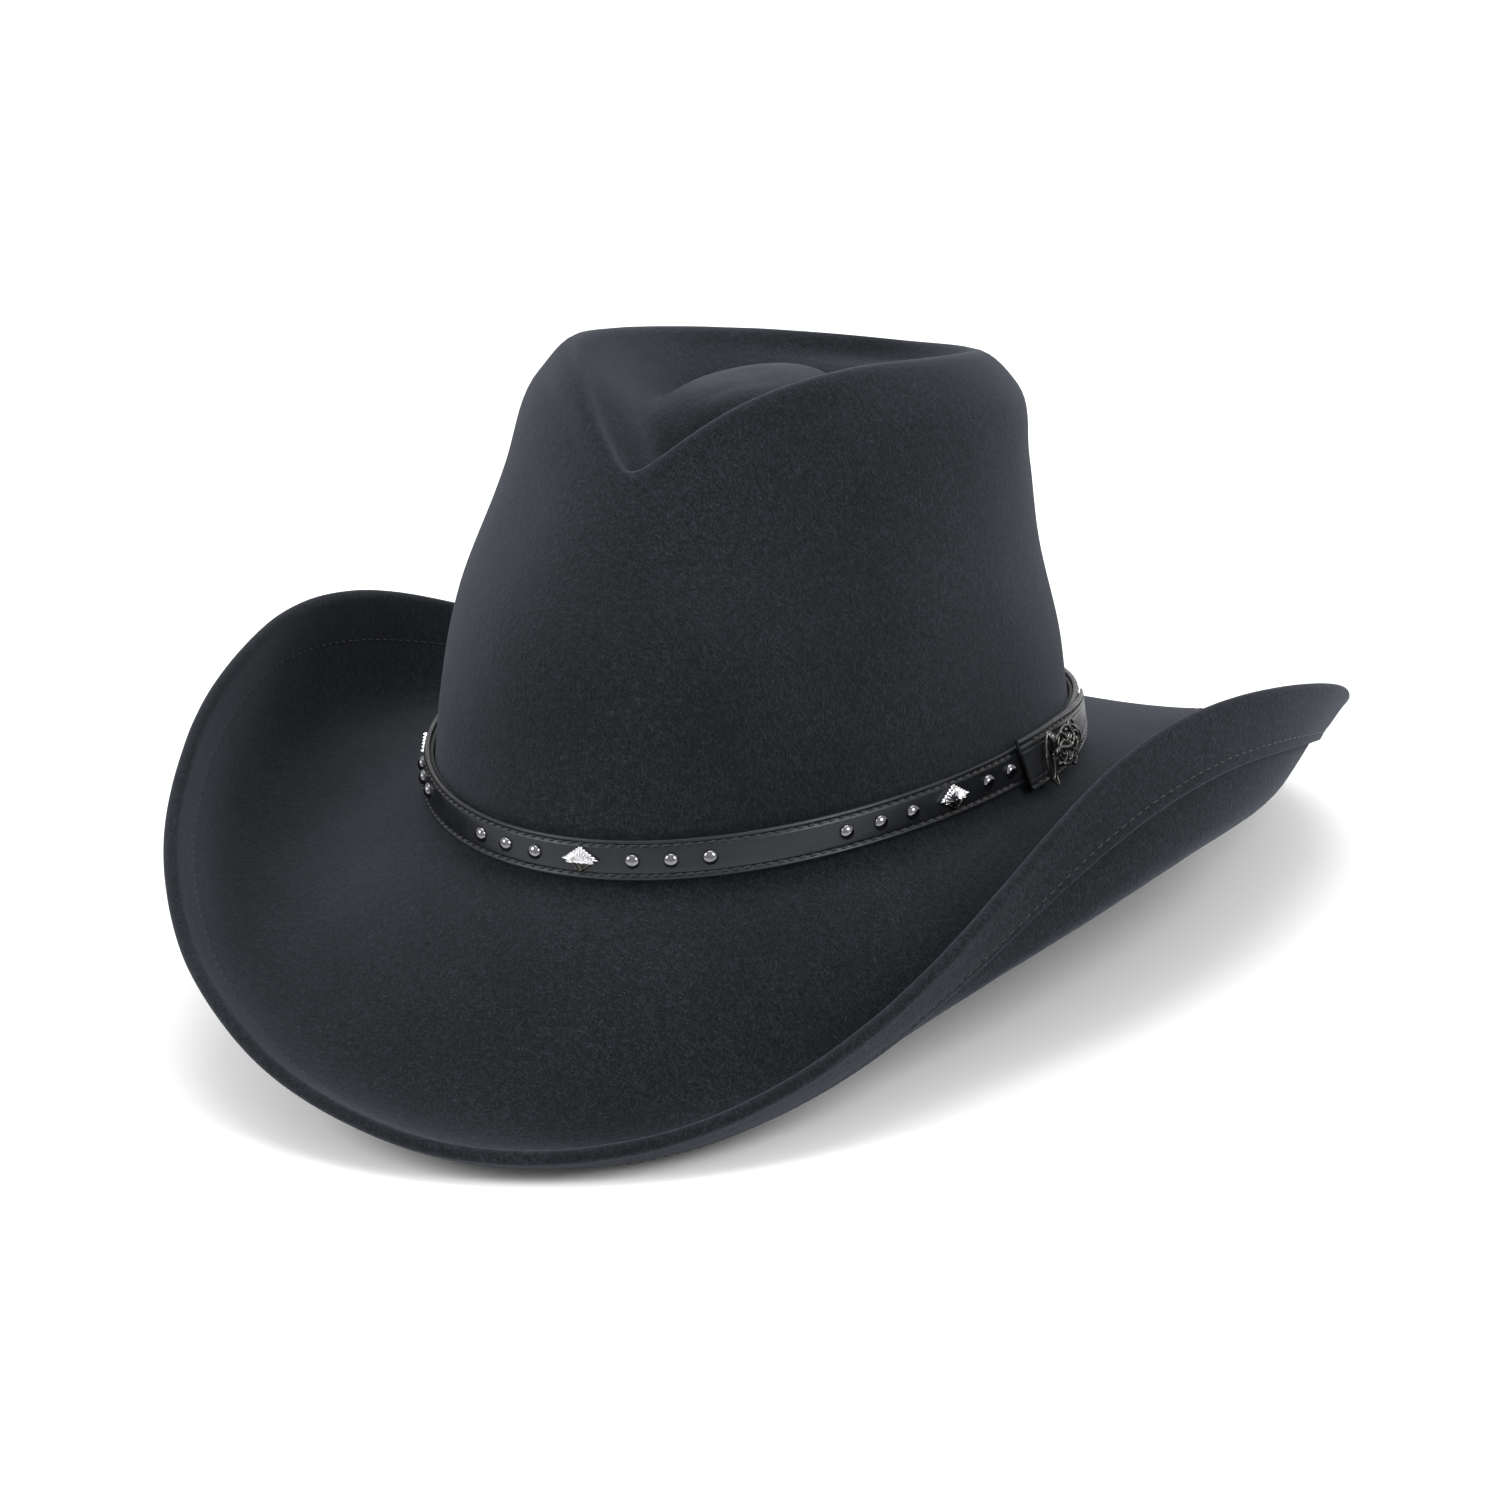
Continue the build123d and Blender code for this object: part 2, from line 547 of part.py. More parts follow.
with BuildPart() as band_backing:
    add(strip(band_box(BACKING_IN, BACKING_OUT, STRAP_LOW + 1.0, STRAP_HIGH - 1.0, WALL_LEAN)))
band_backing.part.label = "band_backing"
export_step(band_backing.part, "parts/band_backing.step")


TAB_START, TAB_FINISH = turn_at(TAB_FROM), turn_at(TAB_TO)
STUD_MIDDLES = [GROUP_FIRST + GROUP_PITCH * group for group in (-3, -2, -1, 0, 1)]
STUD_SPOTS = [middle + side * away for middle in STUD_MIDDLES for side in (-1, 1) for away in GROUP_STUDS
              if not TAB_FROM < middle + side * away < TAB_TO]


def stitch_row(out, start, finish, level):
    """A thread lying on the band from one angle to another, at the height that level gives for each angle."""
    turns = [start + (finish - start) * k / 60 for k in range(61)]
    return cord([foot(angle, out - WALL_LEAN * level(angle) + THREAD_LIFT, level(angle)) for angle in turns],
                THREAD, closed=False)


def tab_height(share):
    """The tab's height at this share of its length, as a share of its full height at the front."""
    return 1 - (1 - TAB_NARROW) * max(0.0, (share - TAB_FULL) / (1 - TAB_FULL)) ** 1.3


def tab_seam(side, angle):
    """Height of the tab's upper seam, or its lower one when side is negative."""
    share = (angle - TAB_START) / (TAB_FINISH - TAB_START)
    return (TAB_HIGH + TAB_LOW) / 2 + side * ((TAB_HIGH - TAB_LOW) / 2 - TAB_SEAM) * tab_height(share)


for name, up in (("strap_stitching_lower", STRAP_LOW + STITCH_EDGE),
                 ("strap_stitching_upper", STRAP_HIGH - STITCH_EDGE)):
    with BuildPart() as strap_stitching:
        add(stitch_row(STRAP_OUT, TAB_FINISH + 0.02, TAB_START + 2 * pi - 0.02, lambda angle: up))
    strap_stitching.part.label = name
    export_step(strap_stitching.part, "parts/" + name + ".step")

DOME = STUD_HEIGHT - STUD_EDGE
DOME_RADIUS = ((STUD / 2) ** 2 + DOME**2) / (2 * DOME)
HALF_TURN = asin(STUD / 2 / DOME_RADIUS) / 2
DOME_MIDDLE = (DOME_RADIUS * sin(HALF_TURN), STUD_HEIGHT - DOME_RADIUS * (1 - cos(HALF_TURN)))

with BuildPart() as stud:
    with BuildSketch(Plane.XZ):
        with BuildLine():
            Polyline((0, STUD_HEIGHT), (0, 0), (STUD / 2, 0), (STUD / 2, STUD_EDGE))
            ThreePointArc((STUD / 2, STUD_EDGE), DOME_MIDDLE, (0, STUD_HEIGHT))
        make_face()
    revolve(axis=Axis.Z)

with BuildPart() as round_studs:
    with Locations(*[Location(band_plane(spot, STRAP_OUT + 0.05)) for spot in STUD_SPOTS]):
        add(stud.part)
round_studs.part.label = "round_studs"
export_step(round_studs.part, "parts/round_studs.step")


def fluted_diamond():
    """A diamond mount whose top falls from its middle in rays, high and low by turns."""
    rim = []
    for k in range(FLUTES):
        turn = 2 * pi * k / FLUTES
        size = 1 / (abs(cos(turn)) / (CONCHO_LONG / 2) + abs(sin(turn)) / (CONCHO_HIGH / 2))
        rim.append((size * cos(turn), size * sin(turn), 0.85 if k % 2 == 0 else 0.45))
    faces = [Face(Wire.make_polygon([(x, y, 0) for x, y, z in rim]))]
    for k in range(FLUTES):
        here, there = rim[k], rim[(k + 1) % FLUTES]
        faces.append(Face(Wire.make_polygon([here, there, (0, 0, CONCHO_RISE)])))
        faces.append(Face(Wire.make_polygon([here, there, (there[0], there[1], 0), (here[0], here[1], 0)])))
    return Solid(Shell(faces))


with BuildPart() as diamond_conchos:
    with Locations(*[Location(band_plane(middle, STRAP_OUT + 0.15)) for middle in STUD_MIDDLES]):
        add(fluted_diamond())
diamond_conchos.part.label = "diamond_conchos"
export_step(diamond_conchos.part, "parts/diamond_conchos.step")

ORNAMENT_PLANE = band_plane(ORNAMENT_AT, TAB_OUT + ORNAMENT_LIFT)
with BuildPart() as band_tab:
    add(strip(band_box(TAB_IN, TAB_OUT, TAB_LOW, TAB_HIGH, WALL_LEAN),
              TAB_START, TAB_FINISH, closed=False, points=40, narrowing=tab_height))
    with BuildSketch(ORNAMENT_PLANE):
        with Locations(*RIVET_SPOTS):
            Circle(RIVET + 0.12)
    extrude(amount=3, both=True, mode=Mode.SUBTRACT)
band_tab.part.label = "band_tab"
export_step(band_tab.part, "parts/band_tab.step")

with BuildPart() as tab_stitching:
    for side in (-1, 1):
        add(stitch_row(TAB_OUT, turn_at(TAB_FROM + 9), turn_at(TAB_TO - 4), lambda angle: tab_seam(side, angle)))
tab_stitching.part.label = "tab_stitching"
export_step(tab_stitching.part, "parts/tab_stitching.step")

with BuildPart() as tab_ornament:
    with BuildSketch(ORNAMENT_PLANE):
        with Locations((-9.6, 0)):
            Ellipse(2.5, 7.8)
            Ellipse(1.2, 6.2, mode=Mode.SUBTRACT)
        with Locations((-5.6, 0)):
            Rectangle(4.4, 2.6)
        for turn in (-66, -33, 0, 33, 66):
            with Locations(Location((-4.0, 0), turn)):
                with Locations((7.5 - abs(turn) / 30, 0)):
                    Ellipse(6.0 - abs(turn) / 40, 1.75)
        with Locations(*[(4.0 * side + 0.6, 3.3 * end) for side in (0, 1) for end in (-1, 1)]):
            Circle(1.5)
        with Locations(*RIVET_SPOTS):
            Circle(RIVET + 0.12, mode=Mode.SUBTRACT)
    extrude(amount=ORNAMENT)
tab_ornament.part.label = "tab_ornament"
export_step(tab_ornament.part, "parts/tab_ornament.step")

with BuildPart() as ornament_rivets:
    with BuildSketch(ORNAMENT_PLANE.offset(-RIVET_DEPTH)):
        with Locations(*RIVET_SPOTS):
            Circle(RIVET)
    extrude(amount=RIVET_DEPTH + ORNAMENT + 0.1)
    with BuildSketch(ORNAMENT_PLANE.offset(ORNAMENT + 0.05)):
        with Locations(*RIVET_SPOTS):
            Circle(2 * RIVET)
    extrude(amount=0.5, taper=20)
ornament_rivets.part.label = "ornament_rivets"
export_step(ornament_rivets.part, "parts/ornament_rivets.step")
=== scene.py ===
"""Looks of the felt cowboy hat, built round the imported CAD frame. Millimetres until a mesh is made."""
import json

from math import atan2, cos, exp, hypot, pi, radians, sin

import bmesh
import bpy
import numpy as np
from mathutils import Matrix, Vector


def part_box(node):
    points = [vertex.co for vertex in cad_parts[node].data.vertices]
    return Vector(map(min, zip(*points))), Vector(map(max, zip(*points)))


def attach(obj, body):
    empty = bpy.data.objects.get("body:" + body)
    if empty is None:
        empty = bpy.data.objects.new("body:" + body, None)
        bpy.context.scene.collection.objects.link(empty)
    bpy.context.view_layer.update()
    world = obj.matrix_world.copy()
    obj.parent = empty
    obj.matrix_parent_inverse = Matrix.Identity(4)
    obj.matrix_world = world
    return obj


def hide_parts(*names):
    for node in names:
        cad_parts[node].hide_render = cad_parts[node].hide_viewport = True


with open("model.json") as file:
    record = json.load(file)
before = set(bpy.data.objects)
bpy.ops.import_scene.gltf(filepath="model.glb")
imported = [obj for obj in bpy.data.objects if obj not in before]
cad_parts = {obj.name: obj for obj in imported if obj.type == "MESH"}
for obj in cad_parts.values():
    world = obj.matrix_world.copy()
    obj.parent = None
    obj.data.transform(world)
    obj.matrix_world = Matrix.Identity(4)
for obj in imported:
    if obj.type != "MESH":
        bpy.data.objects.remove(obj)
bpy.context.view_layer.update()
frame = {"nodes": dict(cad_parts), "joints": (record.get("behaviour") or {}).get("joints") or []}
chance = np.random.default_rng(11)
MM = 0.001                        # metres

# ---- driving sizes, as in the part ---------------------------------------------------------------
FELT = 2.2
FOOT_LONG, FOOT_WIDE = 104.0, 84.7
FOOT_LEVEL = (-8.3, -4.4, 0.0, -2.6, -5.7)
RIM_REACH = (68.8, 61.2, 52.7, 76.6, 71.7)
RIM_LEVEL = (-59.0, -18.6, 25.2, -4.4, -33.1)
REACH_SWING, LEVEL_SWING = (-6.4, -8.3), (-3.6, -4.9)
SLOPE_IN = (-28.0, -30.0, -19.0, -11.0, -9.0)
PULL_IN = (97.0, 120.0, 140.0, 110.0, 83.0)
SLOPE_RIM = (30.3, 67.3, 112.4, 36.6, -31.4)
PULL_RIM = (117.7, 116.9, 144.9, 110.4, 90.6)
BRIM_WIDTH, EDGE_ROLL, HEM = 86.0, 2.1, 11.0
WALL_LEVEL, WALL_LONG, WALL_WIDE = 55.3, 95.9, 76.2
CREST_LONG, CREST_WIDE, CREST_BACK = 77.6, 47.0, 11.7
CREST_LEVEL, CREST_FALL = 132.4, 32.4
PINCH_DROP, PINCH_SPREAD, PINCH_DENT = 34.3, 45.8, 3.7
SHOULDER_OUT = (6.3, 8.7, 13.9, 10.7, 4.2)
SHOULDER_DROP = (7.2, 8.8, 9.1, 9.6, 9.1)
CHANNEL_DROP = (7.0, 13.0, 17.0, 13.0, 9.0)
ISLAND_LEVEL, ISLAND_BACK = 109.0, 4.0
HEM_SEAM = 0.7
SWEAT_IN, SWEAT_OUT, SWEAT_HIGH, SWEAT_LEAN = -3.85, -2.65, 32.0, 0.14
SEAM_LEVEL, REED_LEVEL, BOW_LEVEL = 3.5, -0.1, 10.0
LINING, LINING_LOW, LINING_OUT = 0.5, 33.0, -7.6
TIP_LEVEL, TIP_LONG, TIP_WIDE, TIP_BACK = 80.0, 75.0, 60.0, 7.0
PIPING = 0.7
WALL_LEAN = 0.1
STRAP_IN, STRAP_OUT, STRAP_LOW, STRAP_HIGH = 1.5, 3.1, 4.2, 15.2
TAB_IN, TAB_OUT, TAB_LOW, TAB_HIGH = 3.4, 5.2, 2.0, 17.4
TAB_FROM, TAB_TO = 141.5, 212.0
STITCH_EDGE = 1.5
GROUP_FIRST, GROUP_PITCH, GROUP_STUDS = 2.4, 110.7, (14.8, 25.5, 36.1)
STUD, STUD_HEIGHT = 4.2, 1.5
CONCHO_LONG, CONCHO_HIGH = 11.0, 7.4
ORNAMENT_AT, ORNAMENT_LIFT = 163.0, 0.75
RIVETS = (-5.2, 7.4)              # along the ornament from its middle

# ---- how finely the looks are built --------------------------------------------------------------
AROUND = 600                      # points round each hoop of the felt
LINE_STEPS = (8, 8) + (3,) * 14 + (9, 9, 12, 9, 8, 3, 6, 6, 6, 6, 6)
SUNK = 0.42                       # how far a seam's thread lies below its leather's face
HEM_PITCH, HEM_STITCH = 3.3, (2.2, 0.12, 0.16)        # each stitch: length, thickness, how deep its ends go
BAND_PITCH, STRAP_STITCH, TAB_STITCH = 3.1, (2.5, 0.32, 0.3), (2.5, 0.30, 0.3)
SWEAT_PITCH, SWEAT_STITCH = 3.6, (2.6, 0.24, 0.3)
TAPE_PITCH, TAPE_STITCH = 1.5, (2.2, 0.15, 0.2)


# ---- shape of the felt ---------------------------------------------------------------------------
def round_hat(values, angle):
    """The smooth curve round the hat through its front, quarter, side and back values."""
    last = len(values) - 1
    total = 0.0
    for wave in range(last + 1):
        part = sum(value * cos(wave * k * pi / last) * (0.5 if k in (0, last) else 1.0)
                   for k, value in enumerate(values))
        total = total + part * 2 / last * np.cos(wave * angle) * (0.5 if wave in (0, last) else 1.0)
    return total


def points(x, y, z):
    """Rows of points from three arrays or numbers."""
    return np.stack(np.broadcast_arrays(x, y, z), -1).astype(float)


def foot(angle, out=0.0, up=0.0):
    """Points by the crown's foot: angle 0 is the front, a quarter turn is the wearer's left."""
    side, front = FOOT_LONG * np.sin(angle), -FOOT_WIDE * np.cos(angle)
    size = np.hypot(side, front)
    return points(FOOT_WIDE * np.sin(angle) + out * side / size,
                  -FOOT_LONG * np.cos(angle) + out * front / size,
                  round_hat(FOOT_LEVEL, angle) + up)


def swing(sizes, angle):
    """How the hat's left side differs from its right side at this angle."""
    return sizes[0] * np.sin(angle) + sizes[1] * np.sin(2 * angle)


def brim_point(along, angle):
    """Points on top of the brim, along = 0 at the crown and 1 at the rim."""
    reach = round_hat(RIM_REACH, angle) - EDGE_ROLL + swing(REACH_SWING, angle)
    rise = round_hat(RIM_LEVEL, angle) - round_hat(FOOT_LEVEL, angle) + swing(LEVEL_SWING, angle)
    first, final = np.radians(round_hat(SLOPE_IN, angle)), np.radians(round_hat(SLOPE_RIM, angle))
    pull_in, pull_rim = round_hat(PULL_IN, angle), round_hat(PULL_RIM, angle)
    start, middle, end = along**3 - 2 * along**2 + along, 3 * along**2 - 2 * along**3, along**3 - along**2
    out = middle * reach + start * pull_in * np.cos(first) + end * pull_rim * np.cos(final)
    up = middle * rise + start * pull_in * np.sin(first) + end * pull_rim * np.sin(final)
    return foot(angle, out, up)


def crest(angle, size=1.0, length=1.0):
    """Points of the crown's teardrop ridge, or inside it when size is below 1."""
    turned = np.abs((angle + pi) % (2 * pi) - pi)
    point = (np.sin(angle / 2) ** 2 + 0.02) ** 0.25
    across = (CREST_WIDE * 1.175 * np.sin(angle) * point
              * (1 + 0.06 * np.cos(angle) - 0.06 * np.cos(2 * angle)))
    level = (CREST_LEVEL - PINCH_DROP * np.exp(-((np.degrees(turned) / PINCH_SPREAD) ** 2))
             - CREST_FALL * (1 - np.cos(angle)) / 2)
    return across * size, CREST_BACK - CREST_LONG * np.cos(angle) * length, level


def felt_knots(angle):
    """Chosen points of the felt's top side at each angle, from the rim to the mound in the crease."""
    line = [brim_point(along, angle) for along in
            (1.0, 0.95, 1 - HEM / BRIM_WIDTH, 0.84, 0.77, 0.68, 0.58, 0.48, 0.38, 0.28, 0.18, 0.10, 0.045)]
    line.append(foot(angle, 0.9, 0.9))
    line += [foot(angle, -0.1 * up, up) for up in (4.0, 9.0, 16.0)]
    foot_x, foot_y, foot_z = foot(angle).T
    wall_x, wall_y = WALL_WIDE * np.sin(angle), 0.5 - WALL_LONG * np.cos(angle)
    ridge_x, ridge_y, ridge_z = crest(angle)
    out_x, out_y = np.sin(angle), -np.cos(angle)
    out, drop = round_hat(SHOULDER_OUT, angle), round_hat(SHOULDER_DROP, angle)
    edge_x, edge_y = ridge_x + out_x * out, ridge_y + out_y * out
    turned = np.degrees(np.abs((angle + pi) % (2 * pi) - pi))
    dent = PINCH_DENT * np.exp(-(((turned - 42) / 22) ** 2))
    line.append(points(0.515 * foot_x + 0.5 * wall_x, 0.515 * foot_y + 0.5 * wall_y,
                       (foot_z + WALL_LEVEL) / 2))
    line.append(points(wall_x - out_x * dent / 2, wall_y - out_y * dent / 2, WALL_LEVEL))
    line.append(points((0.45 * wall_x + 0.55 * edge_x) * 1.01 - out_x * dent,
                       (0.45 * wall_y + 0.55 * edge_y) - out_y * dent,
                       0.45 * WALL_LEVEL + 0.55 * (ridge_z - drop)))
    line.append(points(edge_x - out_x * dent * 0.3, edge_y - out_y * dent * 0.3, ridge_z - drop))
    line.append(points(ridge_x, ridge_y, ridge_z))
    channel = ridge_z - round_hat(CHANNEL_DROP, angle)
    for size, length, level in ((0.90, 0.94, ridge_z - 3.5), (0.74, 0.80, 0.4 * ridge_z + 0.6 * channel),
                                (0.56, 0.62, channel)):
        x, y, z = crest(angle, size, length)
        line.append(points(x, y, level))
    for size, length, share in ((0.47, 0.52, 0.30), (0.32, 0.38, 0.76), (0.12, 0.15, 1.0)):
        x, y, z = crest(angle, size, length)
        level = channel * (1 - share) + ISLAND_LEVEL * share
        line.append(points(x, y - CREST_BACK + CREST_BACK * (1 - share) + ISLAND_BACK * share, level))
    return np.array(line)


def unit(a):
    return a / np.linalg.norm(a, axis=-1, keepdims=True)


def felt_line(angle):
    """The felt's top side at each angle: the smooth lines through the knots, closely divided."""
    knots = felt_knots(angle)
    before, after = np.diff(knots, axis=0, prepend=knots[:1]), np.diff(knots, axis=0, append=knots[-1:])
    gap_1 = np.linalg.norm(before, axis=-1, keepdims=True)
    gap_2 = np.linalg.norm(after, axis=-1, keepdims=True)
    ways = before + after
    ways[1:-1] = before[1:-1] * gap_2[1:-1] / gap_1[1:-1] + after[1:-1] * gap_1[1:-1] / gap_2[1:-1]
    ways = unit(ways)
    line = [knots[0]]
    for k, steps in enumerate(LINE_STEPS):
        for step in range(1, steps + 1):
            t = step / steps
            start, middle, end = t**3 - 2 * t**2 + t, 3 * t**2 - 2 * t**3, t**3 - t**2
            line.append(knots[k] * (1 - middle) + knots[k + 1] * middle
                        + gap_2[k] * (start * ways[k] + end * ways[k + 1]))
    return np.array(line)


def grid_frame(grid):
    """Directions at each point of a grid of hoops: across the hoops, and outwards."""
    ahead = unit(np.roll(grid, -1, 1) - np.roll(grid, 1, 1))
    across = unit(np.gradient(grid, axis=0))
    return across, unit(np.cross(ahead, across))


# ---- stance --------------------------------------------------------------------------------------
crown_axis = frame["joints"][0]["axis"]
LEAN = -atan2(crown_axis[1], crown_axis[2])
ANGLES = np.linspace(0, 2 * pi, AROUND, endpoint=False)
TOP = felt_line(ANGLES)
ACROSS, OUTWARD = grid_frame(TOP)


def leaned(p):
    x, y, z = p[..., 0], p[..., 1], p[..., 2]
    return np.stack((x, y * cos(LEAN) - z * sin(LEAN), y * sin(LEAN) + z * cos(LEAN)), -1)


def rim_hoop(turn):
    """The points round the rolled edge: turn 0 is on top, half a turn is underneath."""
    return TOP[0] + EDGE_ROLL * ((cos(turn) - 1) * OUTWARD[0] - sin(turn) * ACROSS[0])


edge = leaned(np.array([rim_hoop(pi * k / 8) for k in range(9)] + list(TOP) + list(TOP - FELT * OUTWARD)
                      + list((TOP - 2 * EDGE_ROLL * OUTWARD)[:LINE_STEPS[0] + LINE_STEPS[1] + 1])))
low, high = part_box("felt_body")
SHIFT = np.array([(low.x + high.x) / 2 / MM - (edge[..., 0].min() + edge[..., 0].max()) / 2,
                  (low.y + high.y) / 2 / MM - (edge[..., 1].min() + edge[..., 1].max()) / 2,
                  low.z / MM - edge[..., 2].min()])


def stand(p):
    """Points of the hat where they are when the hat stands on its brim."""
    return leaned(np.asarray(p, float)) + SHIFT


# ---- making meshes -------------------------------------------------------------------------------
def grid_faces(rows, columns, closed=True, start=0):
    """Faces of a grid of rows of points; each row is a closed hoop when closed."""
    r, c = np.meshgrid(np.arange(rows - 1), np.arange(columns if closed else columns - 1), indexing="ij")
    after = (c + 1) % columns
    return (np.stack((r * columns + c, r * columns + after, (r + 1) * columns + after,
                      (r + 1) * columns + c), -1).reshape(-1, 4) + start)


def tube_faces(rows, columns, closed=False):
    """Faces of a tube of rows of points: the last row joins the first one, or both ends are capped."""
    made = grid_faces(rows, columns).tolist()
    last = (rows - 1) * columns
    if closed:
        return made + [[last + k, last + (k + 1) % columns, (k + 1) % columns, k] for k in range(columns)]
    return made + [list(range(columns))[::-1], [last + k for k in range(columns)]]


def piece(name, verts, faces, material, body, replaced):
    """A mesh piece of the hat from points in the hat's own millimetres."""
    mesh = bpy.data.meshes.new(name)
    mesh.from_pydata((stand(verts) * MM).tolist(), [], [list(f) for f in faces])
    shell = bmesh.new()
    shell.from_mesh(mesh)
    bmesh.ops.recalc_face_normals(shell, faces=shell.faces)
    shell.to_mesh(mesh)
    shell.free()
    mesh.polygons.foreach_set("use_smooth", np.ones(len(mesh.polygons), bool))
    mesh.materials.append(material)
    obj = bpy.data.objects.new(name, mesh)
    bpy.context.scene.collection.objects.link(obj)
    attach(obj, body)
    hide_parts(*replaced)
    return obj


def copies(template, faces, origins, x_ways, y_ways, z_ways):
    """One mesh of many copies of a template, each with its own origin and directions."""
    verts = (origins[:, None] + template[None, :, 0:1] * x_ways[:, None]
             + template[None, :, 1:2] * y_ways[:, None] + template[None, :, 2:3] * z_ways[:, None])
    count = len(template)
    return verts.reshape(-1, 3), [[v + count * k for v in f] for k in range(len(origins)) for f in faces]


# ---- materials -----------------------------------------------------------------------------------
def shader(name, **values):
    """A new material with its node tree and its principled shader, on which the values are set."""
    material = bpy.data.materials.new(name)
    material.use_nodes = True
    tree = material.node_tree
    principled = tree.nodes["Principled BSDF"]
    for key, value in values.items():
        principled.inputs[key.replace("_", " ")].default_value = value
    return material, tree, principled


def node(tree, kind, **settings):
    """A new node; each setting is one of its own properties, or else one of its inputs."""
    made = tree.nodes.new(kind)
    for key, value in settings.items():
        if hasattr(made, key):
            setattr(made, key, value)
        else:
            made.inputs[key].default_value = value
    return made


def noise(tree, place, scale, detail=4.0, rough=0.6, warp=0.0):
    """Smooth random values from 0 to 1."""
    made = node(tree, "ShaderNodeTexNoise", Scale=scale, Detail=detail, Roughness=rough, Distortion=warp)
    tree.links.new(place, made.inputs["Vector"])
    return made.outputs["Fac"]


def ramp(tree, value, low_at, high_at, low_colour, high_colour):
    """A colour for each value, between two colours at two values."""
    made = tree.nodes.new("ShaderNodeValToRGB")
    made.color_ramp.elements[0].position, made.color_ramp.elements[1].position = low_at, high_at
    made.color_ramp.elements[0].color, made.color_ramp.elements[1].color = low_colour, high_colour
    tree.links.new(value, made.inputs["Fac"])
    return made.outputs["Color"]


def blend_colours(tree, how, share, first, second):
    made = tree.nodes.new("ShaderNodeMix")
    made.data_type, made.blend_type = "RGBA", how
    if isinstance(share, float):
        made.inputs[0].default_value = share
    else:
        tree.links.new(share, made.inputs[0])
    for value, socket in ((first, made.inputs[6]), (second, made.inputs[7])):
        if isinstance(value, tuple):
            socket.default_value = value
        else:
            tree.links.new(value, socket)
    return made.outputs[2]


def remap(tree, value, low, high, to_low, to_high):
    made = node(tree, "ShaderNodeMapRange")
    for key, number in zip(("From Min", "From Max", "To Min", "To Max"), (low, high, to_low, to_high)):
        made.inputs[key].default_value = number
    tree.links.new(value, made.inputs["Value"])
    return made.outputs["Result"]


def bump(tree, principled, heights):
    """Bumps from (height output, strength, distance in metres), one on the other."""
    normal = None
    for height, strength, distance in heights:
        made = node(tree, "ShaderNodeBump", Strength=strength, Distance=distance)
        tree.links.new(height, made.inputs["Height"])
        if normal:
            tree.links.new(normal, made.inputs["Normal"])
        normal = made.outputs["Normal"]
    tree.links.new(normal, principled.inputs["Normal"])


def place_of(tree, stretch=(1, 1, 1), turn=(0, 0, 0)):
    """The object's own coordinates, stretched and turned for a texture."""
    where = tree.nodes.new("ShaderNodeTexCoord")
    mapping = node(tree, "ShaderNodeMapping", Scale=stretch, Rotation=turn)
    tree.links.new(where.outputs["Object"], mapping.inputs["Vector"])
    return mapping.outputs["Vector"]


def felt_material(name, tint, lighter):
    """Brushed felt: two crossing sets of fine strands, tufts, and soft lighter patches."""
    material, tree, principled = shader(name, Roughness=0.95, Specular_IOR_Level=0.12, Sheen_Weight=0.18,
                                        Sheen_Roughness=0.5, Sheen_Tint=(0.46, 0.50, 0.60, 1))
    place = place_of(tree)
    strands_1 = noise(tree, place_of(tree, (1, 0.22, 0.3), (0.4, 0.2, 0.9)), 3000, 3, 0.7, 1.2)
    strands_2 = noise(tree, place_of(tree, (0.25, 1, 0.35), (0.1, 0.8, 0.3)), 2700, 3, 0.7, 1.2)
    tufts = noise(tree, place, 640, 4, 0.65)
    patches = noise(tree, place, 22, 3, 0.5)
    fibre = blend_colours(tree, "LIGHTEN", 1.0, strands_1, strands_2)
    base = ramp(tree, patches, 0.36, 0.66, tint, lighter)
    flecks = ramp(tree, fibre, 0.50, 0.78, (0.35, 0.35, 0.35, 1), (3.4, 3.5, 3.5, 1))
    colour = blend_colours(tree, "MULTIPLY", 1.0, base, flecks)
    soft = ramp(tree, tufts, 0.3, 0.75, (0.70, 0.72, 0.72, 1), (1.28, 1.28, 1.28, 1))
    colour = blend_colours(tree, "MULTIPLY", 1.0, colour, soft)
    tree.links.new(colour, principled.inputs["Base Color"])
    bump(tree, principled, ((tufts, 0.40, 0.0005), (fibre, 0.6, 0.00022)))
    return material


def leather_material(name, colour, worn, rough, grain=900, coat=0.0):
    """Leather with a net of fine creases, lighter where it is worn."""
    material, tree, principled = shader(name, Specular_IOR_Level=0.34, Specular_Tint=(0.80, 0.90, 1.0, 1),
                                        Coat_Weight=coat, Coat_Roughness=0.22)
    place = place_of(tree)
    cells = node(tree, "ShaderNodeTexVoronoi", Scale=grain, feature="DISTANCE_TO_EDGE")
    warped = noise(tree, place, 300, 4, 0.6)
    tree.links.new(place, cells.inputs["Vector"])
    creases = remap(tree, cells.outputs["Distance"], 0.0, 0.12, 0.0, 1.0)
    fine = noise(tree, place, 3800, 3, 0.6)
    wear = noise(tree, place, 60, 4, 0.6)
    base = ramp(tree, wear, 0.38, 0.72, colour, worn)
    colour_out = blend_colours(tree, "MULTIPLY", 0.5, base,
                               ramp(tree, creases, 0.0, 0.6, (0.45, 0.45, 0.45, 1), (1, 1, 1, 1)))
    tree.links.new(colour_out, principled.inputs["Base Color"])
    roughness = remap(tree, warped, 0.3, 0.7, rough - 0.07, rough + 0.09)
    tree.links.new(roughness, principled.inputs["Roughness"])
    bump(tree, principled, ((creases, 0.22, 0.00008), (fine, 0.18, 0.00004), (warped, 0.12, 0.0003)))
    return material


